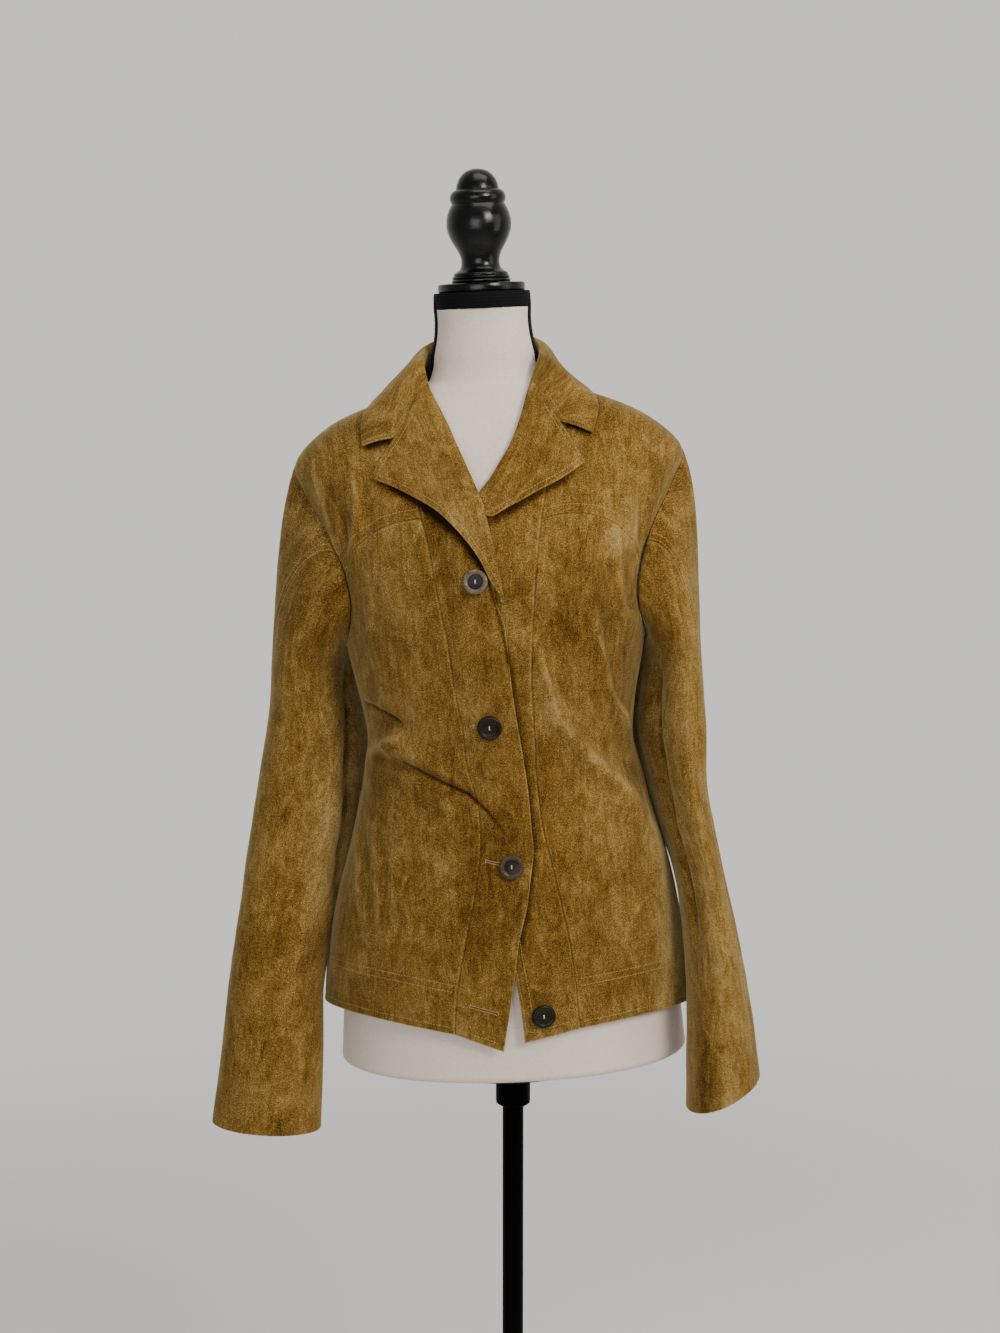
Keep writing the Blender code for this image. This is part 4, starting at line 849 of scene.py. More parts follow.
def attribute(piece, name, kind, field, values):
    """Stores one value per point of a grid, the same on both faces of its wall."""
    both = np.concatenate([values.reshape(len(values) * values.shape[1], -1)] * 2).ravel()
    made = piece.data.attributes.new(name, kind, "POINT")
    made.data.foreach_set(field, both.astype(np.float32))


def offset_line(outer, inner, side, distance):
    """A line on a piece at a distance from one side, with the outward direction at each point."""
    away = from_side(outer, side)
    if side in ("bottom", "top"):
        outer, inner, away = (np.swapaxes(a, 0, 1) for a in (outer, inner, away))
    if side in ("right", "top"):
        outer, inner, away = outer[:, ::-1], inner[:, ::-1], away[:, ::-1]
    line, under = (np.array([read_at(distance, *row) for row in zip(away, face)]) for face in (outer, inner))
    return line, unit(line - under)


# ==== Stitches ===============================================================

STITCH_PITCH, STITCH_LONG, STITCH_WIDE = 3.1 * MM, 2.4 * MM, 0.62 * MM
STITCH_RINGS, STITCH_SIDES = 5, 5


def one_stitch():
    """A short, blunt-ended thread lying along X, arched a little, as points and faces."""
    along_x = np.cos(np.linspace(math.pi, 0, STITCH_RINGS))
    turn = np.linspace(0, 2 * math.pi, STITCH_SIDES, endpoint=False)
    fat = np.sqrt(np.clip(1.04 - along_x**2, 0, 1))
    rings = np.stack([np.broadcast_to(along_x[:, None] * 0.5, (STITCH_RINGS, STITCH_SIDES)),
                      fat[:, None] * np.cos(turn) * 0.5, fat[:, None] * np.sin(turn) * 0.5], axis=-1)
    return rings.reshape(-1, 3), capped_faces(STITCH_RINGS, STITCH_SIDES)


def stitches(name, lines, finish, pitch=STITCH_PITCH, size=(STITCH_LONG, STITCH_WIDE), sink=0.04 * MM):
    """Rows of stitches along lines of (points, outward directions), joined into one piece."""
    shape, one_faces = one_stitch()
    points, faces = [], []
    for line, out in lines:
        gone = walked(line)
        count = int(gone[-1] / pitch)
        at = (np.arange(count) + 0.5) * gone[-1] / max(count, 1)
        centre, up = read_at(at, gone, line), unit(read_at(at, gone, out))
        ahead = read_at(at + 0.5 * MM, gone, line) - read_at(at - 0.5 * MM, gone, line)
        ahead = unit(ahead - up * np.sum(ahead * up, axis=-1, keepdims=True))
        beside_it = np.cross(up, ahead)
        for c, a, b, u in zip(centre, ahead, beside_it, up):
            start = len(points) * len(shape)
            points.append(c - u * sink + shape[:, :1] * size[0] * a + shape[:, 1:2] * size[1] * b
                          + shape[:, 2:] * size[1] * u)
            faces += [[start + i for i in face] for face in one_faces]
    return add(name, np.concatenate(points), faces, finish)


def trimmed(line, start, end):
    """Part of a line with its outward directions, by fractions of its length."""
    points, out = line
    gone = walked(points)
    share = gone / gone[-1]
    keep = (share >= start) & (share <= end)
    return points[keep], out[keep]


# ==== The blazer's pieces ====================================================

def body_piece(node, grid, sides, rows_of_stitches=(), puckers=(), lift=0.0):
    """A panel on the body surface from its grid of angle and height."""
    angle, height = grid[..., 0], grid[..., 1]
    seen = HALF_WIDTH(height) * np.sin(angle)
    facing = np.where(np.cos(angle) > 0, 1.0, 0.0) * ease((np.abs(np.cos(angle)) - 0.02) / 0.2)
    # Painted shadows: darker bands beside the lapels', the collar's and the right front's edges.
    under = UNDER_EDGE_SHADOWS + (LAP_SHADOW if node == "front_centre_left" else [])
    # tone: painted shade in creases, lighter ridges (wear and painted highlight), painted shadows, and
    # patches of nap and painted light
    sharp, tone = creases(seen, height, FRONT_CREASES + under)
    tone = tone + nap_and_painted_light(seen, height, FRONT_NAP_AND_PAINTED_LIGHT)
    beside_side = np.exp(-(((np.abs(angle) - SIDE) / FLARE_SPREAD) ** 2)) * (angle < 0)
    flare = HEM_FLARE * ease((FLARE_FROM - height) / FLARE_RUN) * beside_side
    base = on_body(angle, height, body_relief(angle, height) + lift + sharp * facing + flare)
    start = HALF_WIDTH(height[:, :1]) * np.sin(angle[:, :1])
    across = start + from_side(base, "left") * np.sign(base[:, -1:, 0] - base[:, :1, 0])
    return cloth(f"cloth_{node}", base, body_normal(angle, height), CLOTH, sides, (across, height),
                 rows_of_stitches, puckers, tone * facing)


def roll_rows(side, fractions):
    line = np.array([(x, z) for z, x in ROLL_LINE[side]], float) * MM
    return along(line, fractions)


def beside(line, distance):
    """A line of x and height moved sideways, to its left as it is walked."""
    walk = unit(np.gradient(line, axis=0))
    return line + np.stack([-walk[:, 1], walk[:, 0]], axis=-1) * distance


def centre_edge(side):
    """The free edge of a centre front in pieces: below and above the chest seam, and the neckline."""
    sign = SIDE_SIGN[side]
    roll = beside(roll_rows(side, np.linspace(0, 0.97, 25)), -sign * ROLL_INSET)
    edge = np.array([(x, z) for z, x in FRONT_EDGE[side]], float) * MM
    edge = along(edge, np.linspace(0, 1, 60))
    roll = roll[roll[:, 1] > edge[-1, 1] + 0.012]
    line = np.concatenate([edge, roll])
    line = np.stack([front_angle(line[:, 0], line[:, 1]), line[:, 1]], axis=-1)
    joint = YOKE_JOINT[side]
    low = np.interp(joint, line[:, 1], line[:, 0])
    lower = np.concatenate([line[line[:, 1] < joint], [[low, joint]]])
    upper = np.concatenate([[[low, joint]], line[line[:, 1] > joint]])
    neckline = np.array([upper[-1], [sign * SIDE, NECK_POINT]])
    return [(lower, SIDE_CELLS + LOW_CELLS), (upper, HIGH_CELLS - NECKLINE_CELLS),
            (neckline, NECKLINE_CELLS)]


def fronts(side):
    """The three pieces of one front, and their top stitching."""
    sign = SIDE_SIGN[side]
    seam = princess(side)
    rows, columns = (spaced(size, FRONT_CELL) for size in CENTRE_SIZE)
    centre = patch(by_rows(seam, rows), by_rows(centre_edge(side), rows), columns)
    x = HALF_WIDTH(centre[..., 1]) * np.sin(centre[..., 0])
    insets = [] if side == "right" else [("right", 3), ("right", 11)]
    hem, *edges = body_piece(
        f"front_centre_{side}", centre, {"left": SEAM, "right": EDGE, "bottom": EDGE, "top": SEAM},
        [("bottom", 7 if side == "right" else 10), *insets], ["left"], lift_of(side, x, centre[..., 1]))
    threads = [trimmed(hem, 0.05, 0.9), *(trimmed(edge, 0.012, 0.4) for edge in edges)]

    rows, columns = (spaced(size, FRONT_CELL) for size in SIDE_SIZE)
    outer = [(upright(sign * SIDE, SIDE_HEM[side], ARMPIT), SIDE_CELLS),
             (armhole(0, YOKE_AT, sign), LOW_CELLS)]
    low = patch(by_rows(seam[:1], rows), by_rows(outer, rows), columns, HEM_RISE[side], YOKE_BOW[side])
    lines = body_piece(
        f"front_side_{side}", low, {"left": SEAM, "right": SEAM, "bottom": EDGE, "top": SEAM},
        [("bottom", 7), ("bottom", 43), ("bottom", 50)], ["top", "left", "right"])
    threads += [trimmed(line, 0.02, 0.98) for line in lines]

    rows = spaced(YOKE_LENGTH, FRONT_CELL)
    outer = [(armhole(YOKE_AT, SLEEVE_SEAM_AT, sign), 1), (armhole(SLEEVE_SEAM_AT, 180, sign), 6)]
    yoke = patch(by_rows(seam[1:], rows), by_rows(outer, rows), columns)
    run = columns[None, :]
    yoke[..., 1] += YOKE_BOW[side] * 4 * run * (1 - run) * (1 - rows[:, None]) ** 6
    (chest,) = body_piece(
        f"front_yoke_{side}", yoke, {"left": SEAM, "right": SEAM, "bottom": SEAM, "top": SEAM},
        [("bottom", 10)], ["bottom", "right", "top"])
    threads.append(trimmed(chest, 0.02, 0.98))
    return threads


def back(side):
    """Half of the back."""
    sign = SIDE_SIGN[side]
    rows, columns = (spaced(size, BACK_CELL) for size in BACK_SIZE)
    outer = [(upright(sign * SIDE, SIDE_HEM[side], ARMPIT), SIDE_CELLS), (armhole(0, -180, sign), BACK_CELLS),
             (upright(sign * SIDE, SHOULDER_TIP, SEAM_POINT), SHOULDER_CELLS),
             (upright(sign * SIDE, SEAM_POINT, NECK_POINT), CENTRE_CELLS)]
    height = np.interp(rows, [0, 0.4, 0.72, 1], [BACK_HEM, 1.13, 1.32, BACK_NECK])
    middle = np.stack([np.full_like(height, sign * math.pi), height], axis=-1)
    grid = patch(middle, by_rows(outer, rows), columns)
    (hem,) = body_piece(
        f"back_{side}", grid, {"left": SEAM, "right": SEAM, "bottom": EDGE, "top": SEAM},
        [("bottom", 7)], ["left", "right"])
    return [trimmed(hem, 0.01, 0.99)]


def turn_back(roll, middle, edge, tall, base, spring):
    """Sections of a cloth that comes up at the roll line, turns over it and lies back to its edge.

    Each is six control points of x, height and lift over the body, for one row of the given lines.
    tall is how tall the turn is, as a share, base what lies under it, and spring how far the edge springs.
    """
    out = unit(middle - roll)
    size = tall[:, None]

    def at(place, lift):
        return np.concatenate([place, (lift * tall + base)[:, None]], axis=-1)

    lifts = -CLOTH / 2 / tall, *ROLL_LIFT
    return np.stack([
        *(at(roll + out * away * size, lift) for away, lift in zip(ROLL_OUT, lifts)),
        np.concatenate([middle, (LAPEL_REST + 0.0016 * tall + base)[:, None]], axis=-1),
        np.concatenate([edge, (LAPEL_REST + LAPEL_SPRINGS * spring + base)[:, None]], axis=-1),
    ], axis=1)


# Places across a turned-back section, counted in its control points: closest at the roll and the edge.
ACROSS = np.concatenate([np.linspace(0, 1, 4)[:-1], np.linspace(1, 3, 14)[:-1], np.linspace(3, 4, 14)[:-1],
                         5 - np.linspace(1, 0, 16) ** 1.7])


def through(controls, steps):
    """Points of a smooth line at steps counted in its control points, such as 1.5."""
    gone = walked(controls)
    at = np.interp(steps, np.arange(len(controls)), gone)
    return np.stack([smooth_curve(gone, controls[:, k])(at) for k in range(controls.shape[1])], axis=-1)


def lapel_sections(side, fractions):
    """Control points of a lapel's sections, from its break (0) to the gorge (1)."""
    roll = roll_rows(side, fractions)
    edge = along(np.array(LAPEL_EDGE[side], float) * MM, fractions)
    edge = roll + (edge - roll) * (TAPER_LEAST + (1 - TAPER_LEAST) * ease(fractions / TAPER))[:, None]
    width = np.linalg.norm(edge - roll, axis=1)
    notch = np.array(NOTCH[side], float) * MM
    share = np.clip(MIDDLE_MOST - width / MIDDLE_PER, MIDDLE_LEAST, MIDDLE_MOST)[:, None]
    straight = roll * (1 - share) + edge * share
    middle = straight + (notch - straight[-1]) * (fractions**4)[:, None]
    tall = np.clip(width / ROLL_FULL_WIDTH, ROLL_LEAST, 1.0) * ROLL_SCALE[side]
    spring = np.sin(math.pi * np.clip(fractions, 0, 1)) ** 0.8
    return turn_back(roll, middle, edge, tall, lift_of(side, roll[:, 0], roll[:, 1]), spring)


def grid_normals(grid):
    down = np.gradient(grid, axis=0)
    across = np.gradient(grid, axis=1)
    return unit(np.cross(across, down))


def faced(node, sheet, outward, sides, rows_of_stitches, grain, tone=0.0):
    """A double piece from its middle sheet; outward says roughly where its last column faces.

    Its first and last rows are sewn to their neighbour up to the notch, and free beyond it.
    """
    normal = grid_normals(sheet)
    if np.mean(np.sum(normal[:, -3] * outward, axis=-1)) < 0:
        normal = -normal
    loose = ease((ACROSS - 4.0) / 0.12)[None, :]
    return cloth(f"cloth_{node}", sheet + normal * FACED / 2, normal, FACED, sides, grain, rows_of_stitches,
                 tone=tone, loose=loose)


def lapel(side):
    fractions = spaced(LAPEL_LENGTH, FRONT_CELL)
    flat = np.stack([through(section, ACROSS) for section in lapel_sections(side, fractions)])
    sheet = from_front(flat, flat[..., 2])
    outward = body_normal(front_angle(flat[:, -1, 0], flat[:, -1, 1]), flat[:, -1, 1])
    grain = from_side(sheet, "left"), from_side(sheet, "bottom")
    edge, top = faced(f"lapel_{side}", sheet, outward, TURNED_SIDES, [("right", 6), ("top", 5.5)], grain,
                      LAPEL_NAP[side])
    return [trimmed(edge, 0.03, 0.965), trimmed(top, 0.32, 0.93)]


def collar_end(side):
    """The collar's first section: along the gorge with the lapel, then on to the collar's point."""
    last = lapel_sections(side, np.linspace(0, 1, 12))[-1].copy()
    last[:, 0] += SIDE_SIGN[side] * SEWN_GAP
    last[:, 1] += SEWN_GAP
    flat = through(last, ACROSS)
    point = np.array([*COLLAR_POINT[side], (LAPEL_REST + SEAM_GAP) / MM]) * MM
    beyond = np.clip(ACROSS - 4, 0, 1)[:, None]
    flat = np.where(beyond > 0, last[4] * (1 - beyond) + point * beyond, flat)
    flat[:, 2] += COLLAR_SPRINGS * np.sin(math.pi * beyond[:, 0]) ** 1.2
    return from_front(flat, flat[:, 2])


def collar():
    """Stand and fall in one sheet, swept from one front end round the back to the other."""
    def sections(rows):
        return [through(np.array(row, float) * MM, ACROSS) for row in rows]

    right = [section * np.array([-1, 1, 1]) for section in sections(COLLAR_SECTIONS["right"])]
    left = sections(COLLAR_SECTIONS["left"])[::-1]
    stations = np.array([collar_end("right"), *right, *sections([COLLAR_BACK]), *left, collar_end("left")])
    rows = spaced(COLLAR_LENGTH)
    sheet = np.stack([along(stations[:, k], rows) for k in range(stations.shape[1])], axis=1)
    outward = unit(sheet[:, -1] * np.array([1, 1, 0]) + np.array([0, 0, 0.02]))
    grain = from_side(sheet, "bottom"), from_side(sheet, "left")
    tone = COLLAR_WORN * np.exp(-(from_side(sheet, "right") / COLLAR_WORN_RUN) ** 2)
    first, last = faced("collar", sheet, outward, TURNED_SIDES, [("bottom", 5), ("top", 5)], grain, tone)
    return [trimmed(first, 0.30, 0.95), trimmed(last, 0.30, 0.95)]


def sleeve_map(side, around, rows):
    """Sleeve surface at degrees round it (one array per row) and at row places of its table."""
    sign = SIDE_SIGN[side]
    around = np.broadcast_to(np.asarray(around, float), (len(rows), np.shape(around)[-1]))
    turned_to = (around + 180) % 360 - 180
    start = body_point(ARMHOLE_ANGLE(turned_to), ARMHOLE_HEIGHT(turned_to))
    turn = np.radians(around)
    knots = [start]
    tuck = ((1 + np.cos(turn)) / 2) ** TUCK_POWER
    for height, inner_x, outer_x, middle_y, half_depth, outer_rise, inner_back in SLEEVE_SECTIONS[side]:
        x = (inner_x + outer_x) / 2 - (outer_x - inner_x) / 2 * np.cos(turn)
        y = middle_y - half_depth * np.sin(turn) + inner_back * tuck
        z = height - outer_rise / 2 * np.cos(turn)
        knots.append(np.stack([x, y, z], axis=-1) * MM)
    knots = np.stack(knots)
    chord = np.linalg.norm(np.diff(knots, axis=0), axis=-1, keepdims=True)
    rate = np.diff(knots, axis=0) / chord
    tangent = np.empty_like(knots)
    tangent[1:-1] = (rate[:-1] * chord[1:] + rate[1:] * chord[:-1]) / (chord[1:] + chord[:-1])
    tangent[-1] = rate[-1]
    outer = (1 - np.cos(turn)) / 2
    leave = np.stack([CAP_OUT + CAP_OUT_OUTER * outer, CAP_FORE * np.sin(turn),
                      CAP_DOWN + CAP_DOWN_OUTER * outer], axis=-1)
    tangent[0] = unit(leave) * CAP_PULL
    rows = np.asarray(rows, float)
    k = np.clip(np.floor(rows).astype(int), 0, len(knots) - 2)
    j = np.arange(len(rows))
    t = (rows - k)[:, None, None]
    span = chord[k, j]
    point = hermite(knots[k, j], tangent[k, j] * span, knots[k + 1, j], tangent[k + 1, j] * span, t)
    return point * np.array([sign, 1, 1])


def sleeve_normal(side, around, rows):
    rows = np.asarray(rows, float)
    last = len(SLEEVE_SECTIONS[side])
    up = sleeve_map(side, around, np.clip(rows - 0.02, 0, last))
    down = sleeve_map(side, around, np.clip(rows + 0.02, 0, last))
    turn = sleeve_map(side, around + 1.0, rows) - sleeve_map(side, around - 1.0, rows)
    return unit(np.cross(turn, down - up)) * -SIDE_SIGN[side]


def sleeve_relief(side, around, points):
    """The sleeve's folds and their tone, placed by degrees round it and height: painted shade and highlight,
    patches of nap and painted light, and painted light on the inner side.
    """
    folds = [(a0 * PER_DEGREE / MM, z0, a1 * PER_DEGREE / MM, z1, width, rise)
             for a0, z0, a1, z1, width, rise in SLEEVE_FOLDS[side] + SLEEVE_FINE_FOLDS[side]]
    sharp = [([(a * PER_DEGREE / MM, z) for a, z in places], *rest) for places, *rest in SLEEVE_CREASES[side]]
    move, tone = creases(around * PER_DEGREE, points[..., 2], sharp)
    inside = ((1 + np.cos(np.radians(around))) / 2) ** TUCK_POWER
    tone += nap_and_painted_light(around * MM + 0 * tone, points[..., 2], SLEEVE_NAP_AND_PAINTED_LIGHT[side])
    # Painted light on the inner side, which lies in shade beside the body.
    tone += (INSIDE_PAINTED_LIGHT[side] * inside * ease((INSIDE_HIGH - points[..., 2]) / INSIDE_HIGH_FADE)
             * ease((points[..., 2] - INSIDE_LOW) / INSIDE_LOW_FADE))
    return move + segment_relief(around * PER_DEGREE, points[..., 2], folds, SLEEVE_FOLD_COLUMNS), tone


def sleeve_piece(node, side, around, rows, rows_of_stitches):
    """One sleeve panel: around is degrees round the sleeve, one list for each row."""
    base = sleeve_map(side, around, rows)
    normal = sleeve_normal(side, around, rows)
    move, tone = sleeve_relief(side, around, base)
    base = base + normal * move[..., None]
    # At the armhole the wall turns into the body's, so that the two edges lie face to face.
    at = (around[0] + 180) % 360 - 180
    body = body_normal(ARMHOLE_ANGLE(at), ARMHOLE_HEIGHT(at)) * np.array([SIDE_SIGN[side], 1, 1])
    agree = ease((np.sum(body * normal[0], axis=-1, keepdims=True) - 0.2) / 0.5)
    agree = agree[None] * np.exp(-(rows[:, None, None] / 0.10) ** 2)
    normal = unit(body[None] * agree + normal * (1 - agree))
    grain = around * PER_DEGREE, base[..., 2]
    return cloth(f"cloth_{node}", base, normal, CLOTH,
                 {"left": SEAM, "right": SEAM, "bottom": SEAM, "top": EDGE}, grain, rows_of_stitches,
                 ["bottom", "left"], tone)


def sleeve(side):
    """Both panels of a sleeve; rows run from the armhole (0) to the cuff (9)."""
    rows = np.unique(np.concatenate([spaced(CAP_LENGTH), 1 + spaced(SLEEVE_LENGTH) * 8]))
    seam = smooth_curve(column(SLEEVE_SEAM[side], SEAM_COLUMNS, "row"),
                        column(SLEEVE_SEAM[side], SEAM_COLUMNS, "around"))(rows)[:, None]
    near, far = spaced(UNDER_WIDTH, BACK_CELL)[None, :], spaced(OUTER_WIDTH)[None, :]
    sleeve_piece(f"sleeve_under_{side}", side, HIND_SEAM_AT + near * (seam - HIND_SEAM_AT), rows, [])
    outer = seam + far * (360 + HIND_SEAM_AT - seam)
    lines = sleeve_piece(f"sleeve_outer_{side}", side, outer, rows, [("left", 2.2), ("left", 8.2)])
    return [trimmed(line, 0.004, 0.995) for line in lines]


# ==== Materials ==============================================================

def shader(name, roughness, **sockets):
    """A Principled material; returns it with its node tree and shader."""
    made = bpy.data.materials.new(name)
    made.use_nodes = True
    tree = made.node_tree
    bsdf = tree.nodes["Principled BSDF"]
    bsdf.inputs["Roughness"].default_value = roughness
    for socket, value in sockets.items():
        bsdf.inputs[socket.replace("_", " ")].default_value = value
    return made, tree, bsdf


def node(tree, kind, inputs=(), **settings):
    """A shader node with its settings; inputs are pairs of a socket and a value or another's output."""
    made = tree.nodes.new(f"ShaderNode{kind}")
    for key, value in settings.items():
        setattr(made, key, value)
    for socket, value in inputs:
        if isinstance(value, bpy.types.NodeSocket):
            tree.links.new(value, made.inputs[socket])
        else:
            made.inputs[socket].default_value = value
    return made


def noise(tree, vector, stretch, detail=4.0, rough=0.6, distortion=0.0):
    scaled = node(tree, "VectorMath", [(0, vector), (1, stretch)], operation="MULTIPLY").outputs[0]
    return node(tree, "TexNoise", [("Vector", scaled), ("Scale", 1.0), ("Detail", detail),
                                   ("Roughness", rough), ("Distortion", distortion)]).outputs["Fac"]


def maths(tree, operation, first, second=0.0, third=0.0):
    return node(tree, "Math", [(0, first), (1, second), (2, third)], operation=operation).outputs[0]


def total(tree, *parts):
    """Sum of pairs of a value and its weight."""
    result = 0.0
    for value, weight in parts:
        result = maths(tree, "MULTIPLY_ADD", value, weight, result)
    return result


def ramp(tree, value, *stops):
    """Colours, or greys, blended along a value from 0 to 1."""
    made = node(tree, "ValToRGB", [(0, value)])
    elements = made.color_ramp.elements
    while len(elements) < len(stops):
        elements.new(0.5)
    for element, (place, colour) in zip(elements, stops):
        element.position = place
        element.color = (*colour, 1.0)
    return made.outputs["Color"]


def mapped(tree, value, start, end, first, last, **settings):
    """A value carried from one range, start to end, to another, first to last."""
    ranges = [("Value", value), ("From Min", start), ("From Max", end), ("To Min", first), ("To Max", last)]
    return node(tree, "MapRange", ranges, **settings).outputs[0]


def object_place(tree):
    return node(tree, "TexCoord").outputs["Object"]


def painted(tree, bsdf, value, *stops):
    tree.links.new(ramp(tree, value, *stops), bsdf.inputs["Base Color"])


def bump(tree, bsdf, height, distance, strength=1.0):
    made = node(tree, "Bump", [("Height", height), ("Distance", distance), ("Strength", strength)])
    tree.links.new(made.outputs[0], bsdf.inputs["Normal"])


WALE = 1.35 * MM         # from one rib of the corduroy to the next
TONE_MIDDLE, TONE_BASE = 3.325, 0.450   # the noises' sum in the middle, and the tone it then has
EDGE_WORN, EDGE_WORN_RUN = 0.30, 1.7 * MM   # how much lighter an edge is, and how far in
# Weight of the stored tone of painted shade, highlight and light, nap and wear.
PAINTED_LIGHT_AND_WEAR_WEIGHT = 0.62
# Colours of the cloth by tone, from dark to rubbed light.
CORD_COLOURS = [(0.0, (0.021, 0.009, 0.001)), (0.24, (0.096, 0.044, 0.005)), (0.46, (0.156, 0.080, 0.012)),
                (0.63, (0.219, 0.1245, 0.026)), (0.82, (0.318, 0.207, 0.064)), (1.0, (0.420, 0.298, 0.122))]


def corduroy():
    """Fine-wale cotton corduroy with a suede-like nap, pressed into lighter and darker patches."""
    made, tree, bsdf = shader("corduroy", 0.92, Sheen_Weight=0.46, Sheen_Roughness=0.38,
                              Sheen_Tint=(0.76, 0.66, 0.32, 1.0), Specular_IOR_Level=0.06)
    grain = node(tree, "Attribute", attribute_name="grain").outputs["Vector"]
    clouds = noise(tree, grain, (15, 9, 1), 3.0, 0.50, 0.3)
    patches = noise(tree, grain, (58, 34, 3), 5.0, 0.66, 1.3)
    mottle = noise(tree, grain, (200, 135, 4), 4.0, 0.66, 0.8)
    fibres = noise(tree, grain, (820, 640, 5), 3.0, 0.70)
    pile = noise(tree, grain, (1900, 1500, 7), 2.0, 0.6)
    streaks = noise(tree, grain, (230, 36, 6), 3.0, 0.62, 0.5)
    crumple = noise(tree, grain, (62, 34, 9), 3.0, 0.55, 0.7)
    across = node(tree, "SeparateXYZ", [(0, grain)]).outputs[0]
    wander = maths(tree, "MULTIPLY_ADD", streaks, 2.2, maths(tree, "MULTIPLY", across, 2 * math.pi / WALE))
    wales = maths(tree, "MULTIPLY_ADD", maths(tree, "SINE", wander), 0.5, 0.5)
    specks = noise(tree, grain, (340, 250, 8), 2.0, 0.6)
    tone = total(tree, (clouds, 0.68), (patches, 0.86), (mottle, 0.38), (specks, 0.34), (fibres, 1.75),
                 (pile, 2.10), (streaks, 0.50), (wales, 0.04))
    tone = maths(tree, "MULTIPLY_ADD", maths(tree, "SUBTRACT", tone, TONE_MIDDLE), 1.0, TONE_BASE)
    edge = node(tree, "Attribute", attribute_name="from_edge").outputs["Fac"]
    worn = mapped(tree, edge, 0.0, EDGE_WORN_RUN, EDGE_WORN, 0.0)
    # Painted shade, highlight and light, nap and wear, stored on the cloth.
    painted_light_and_wear = node(tree, "Attribute", attribute_name="painted_light_and_wear").outputs["Fac"]
    tone = total(tree, (tone, 1.0), (worn, 1.0), (painted_light_and_wear, PAINTED_LIGHT_AND_WEAR_WEIGHT))
    painted(tree, bsdf, tone, *CORD_COLOURS)
    height = total(tree, (wales, 0.20), (fibres, 0.9), (pile, 0.6), (mottle, 0.9), (crumple, 3.2))
    bump(tree, bsdf, height, 0.38 * MM, 0.85)
    return made


def thread(name, dark, light):
    made, tree, bsdf = shader(name, 0.75, Sheen_Weight=0.3, Sheen_Roughness=0.4)
    place = object_place(tree)
    painted(tree, bsdf, noise(tree, place, (900, 900, 900), 2.0), (0.35, dark), (0.65, light))
    bump(tree, bsdf, noise(tree, place, (2600, 2600, 2600), 1.0), 0.12 * MM, 0.6)
    return made


def horn(name, dark, light, roughness):
    """Polished horn: cloudy bands that run across the button."""
    made, tree, bsdf = shader(name, roughness, Coat_Weight=0.05, Coat_Roughness=0.2, Specular_IOR_Level=0.17)
    place = object_place(tree)
    painted(tree, bsdf, noise(tree, place, (210, 210, 520), 4.0, 0.6, 1.2), (0.34, dark), (0.68, light))
    bump(tree, bsdf, noise(tree, place, (1500, 1500, 1500), 2.0), 0.05 * MM, 0.35)
    return made


def linen():
    """The form's close-woven cover."""
    made, tree, bsdf = shader("linen_cover", 0.88, Sheen_Weight=0.15, Sheen_Roughness=0.5)
    place = object_place(tree)
    axes = node(tree, "SeparateXYZ", [(0, place)])
    turn = maths(tree, "ARCTAN2", axes.outputs[0], axes.outputs[1])
    warp = maths(tree, "SINE", maths(tree, "MULTIPLY", turn, 420.0))
    weft = maths(tree, "SINE", maths(tree, "MULTIPLY", axes.outputs[2], 6200.0))
    weave = maths(tree, "MULTIPLY", warp, weft)
    slubs = noise(tree, place, (260, 260, 900), 4.0, 0.65)
    fibre = noise(tree, place, (1300, 1300, 1300), 2.0)
    tone = total(tree, (weave, 0.10), (slubs, 0.55), (fibre, 0.45))
    painted(tree, bsdf, tone, (0.25, (0.57, 0.475, 0.395)), (0.50, (0.74, 0.635, 0.535)),
            (0.78, (0.83, 0.73, 0.635)))
    bump(tree, bsdf, total(tree, (weave, 0.5), (slubs, 0.8)), 0.16 * MM, 0.5)
    return made


def lacquer():
    """Black lacquer over turned wood, with faint grain, rubbed places and brush marks."""
    made, tree, bsdf = shader("black_lacquer", 0.3, Specular_IOR_Level=0.34)
    place = object_place(tree)
    grain = noise(tree, place, (60, 60, 420), 4.0, 0.6, 0.5)
    rubbed = noise(tree, place, (70, 70, 70), 5.0, 0.65)
    painted(tree, bsdf, grain, (0.3, (0.0002, 0.0002, 0.0003)), (0.75, (0.0009, 0.0008, 0.0008)))
    tree.links.new(mapped(tree, rubbed, 0.35, 0.7, 0.15, 0.33), bsdf.inputs["Roughness"])
    bump(tree, bsdf, total(tree, (grain, 0.6), (rubbed, 1.3)), 0.40 * MM, 0.60)
    return made


def iron():
    """Black paint on iron, with a slight orange-peel surface and dust."""
    made, tree, bsdf = shader("black_iron", 0.5, Specular_IOR_Level=0.02)
    place = object_place(tree)
    dust = noise(tree, place, (35, 35, 12), 5.0, 0.7)
    painted(tree, bsdf, dust, (0.35, (0.0004, 0.0005, 0.0007)), (0.8, (0.0018, 0.0018, 0.0018)))
    tree.links.new(mapped(tree, dust, 0.3, 0.75, 0.30, 0.55), bsdf.inputs["Roughness"])
    bump(tree, bsdf, noise(tree, place, (700, 700, 700), 2.0), 0.08 * MM, 0.4)
    return made


def black_braid():
    made, tree, bsdf = shader("black_braid", 0.8, Sheen_Weight=0.02, Specular_IOR_Level=0.10)
    fibre = noise(tree, object_place(tree), (1500, 1500, 1500), 3.0)
    painted(tree, bsdf, fibre, (0.3, (0.0016, 0.0016, 0.002)), (0.75, (0.006, 0.006, 0.0065)))
    bump(tree, bsdf, fibre, 0.15 * MM, 0.6)
    return made


FLOOR_FADE = 0.5, 2.6    # distances from the stand between which the floor fades away


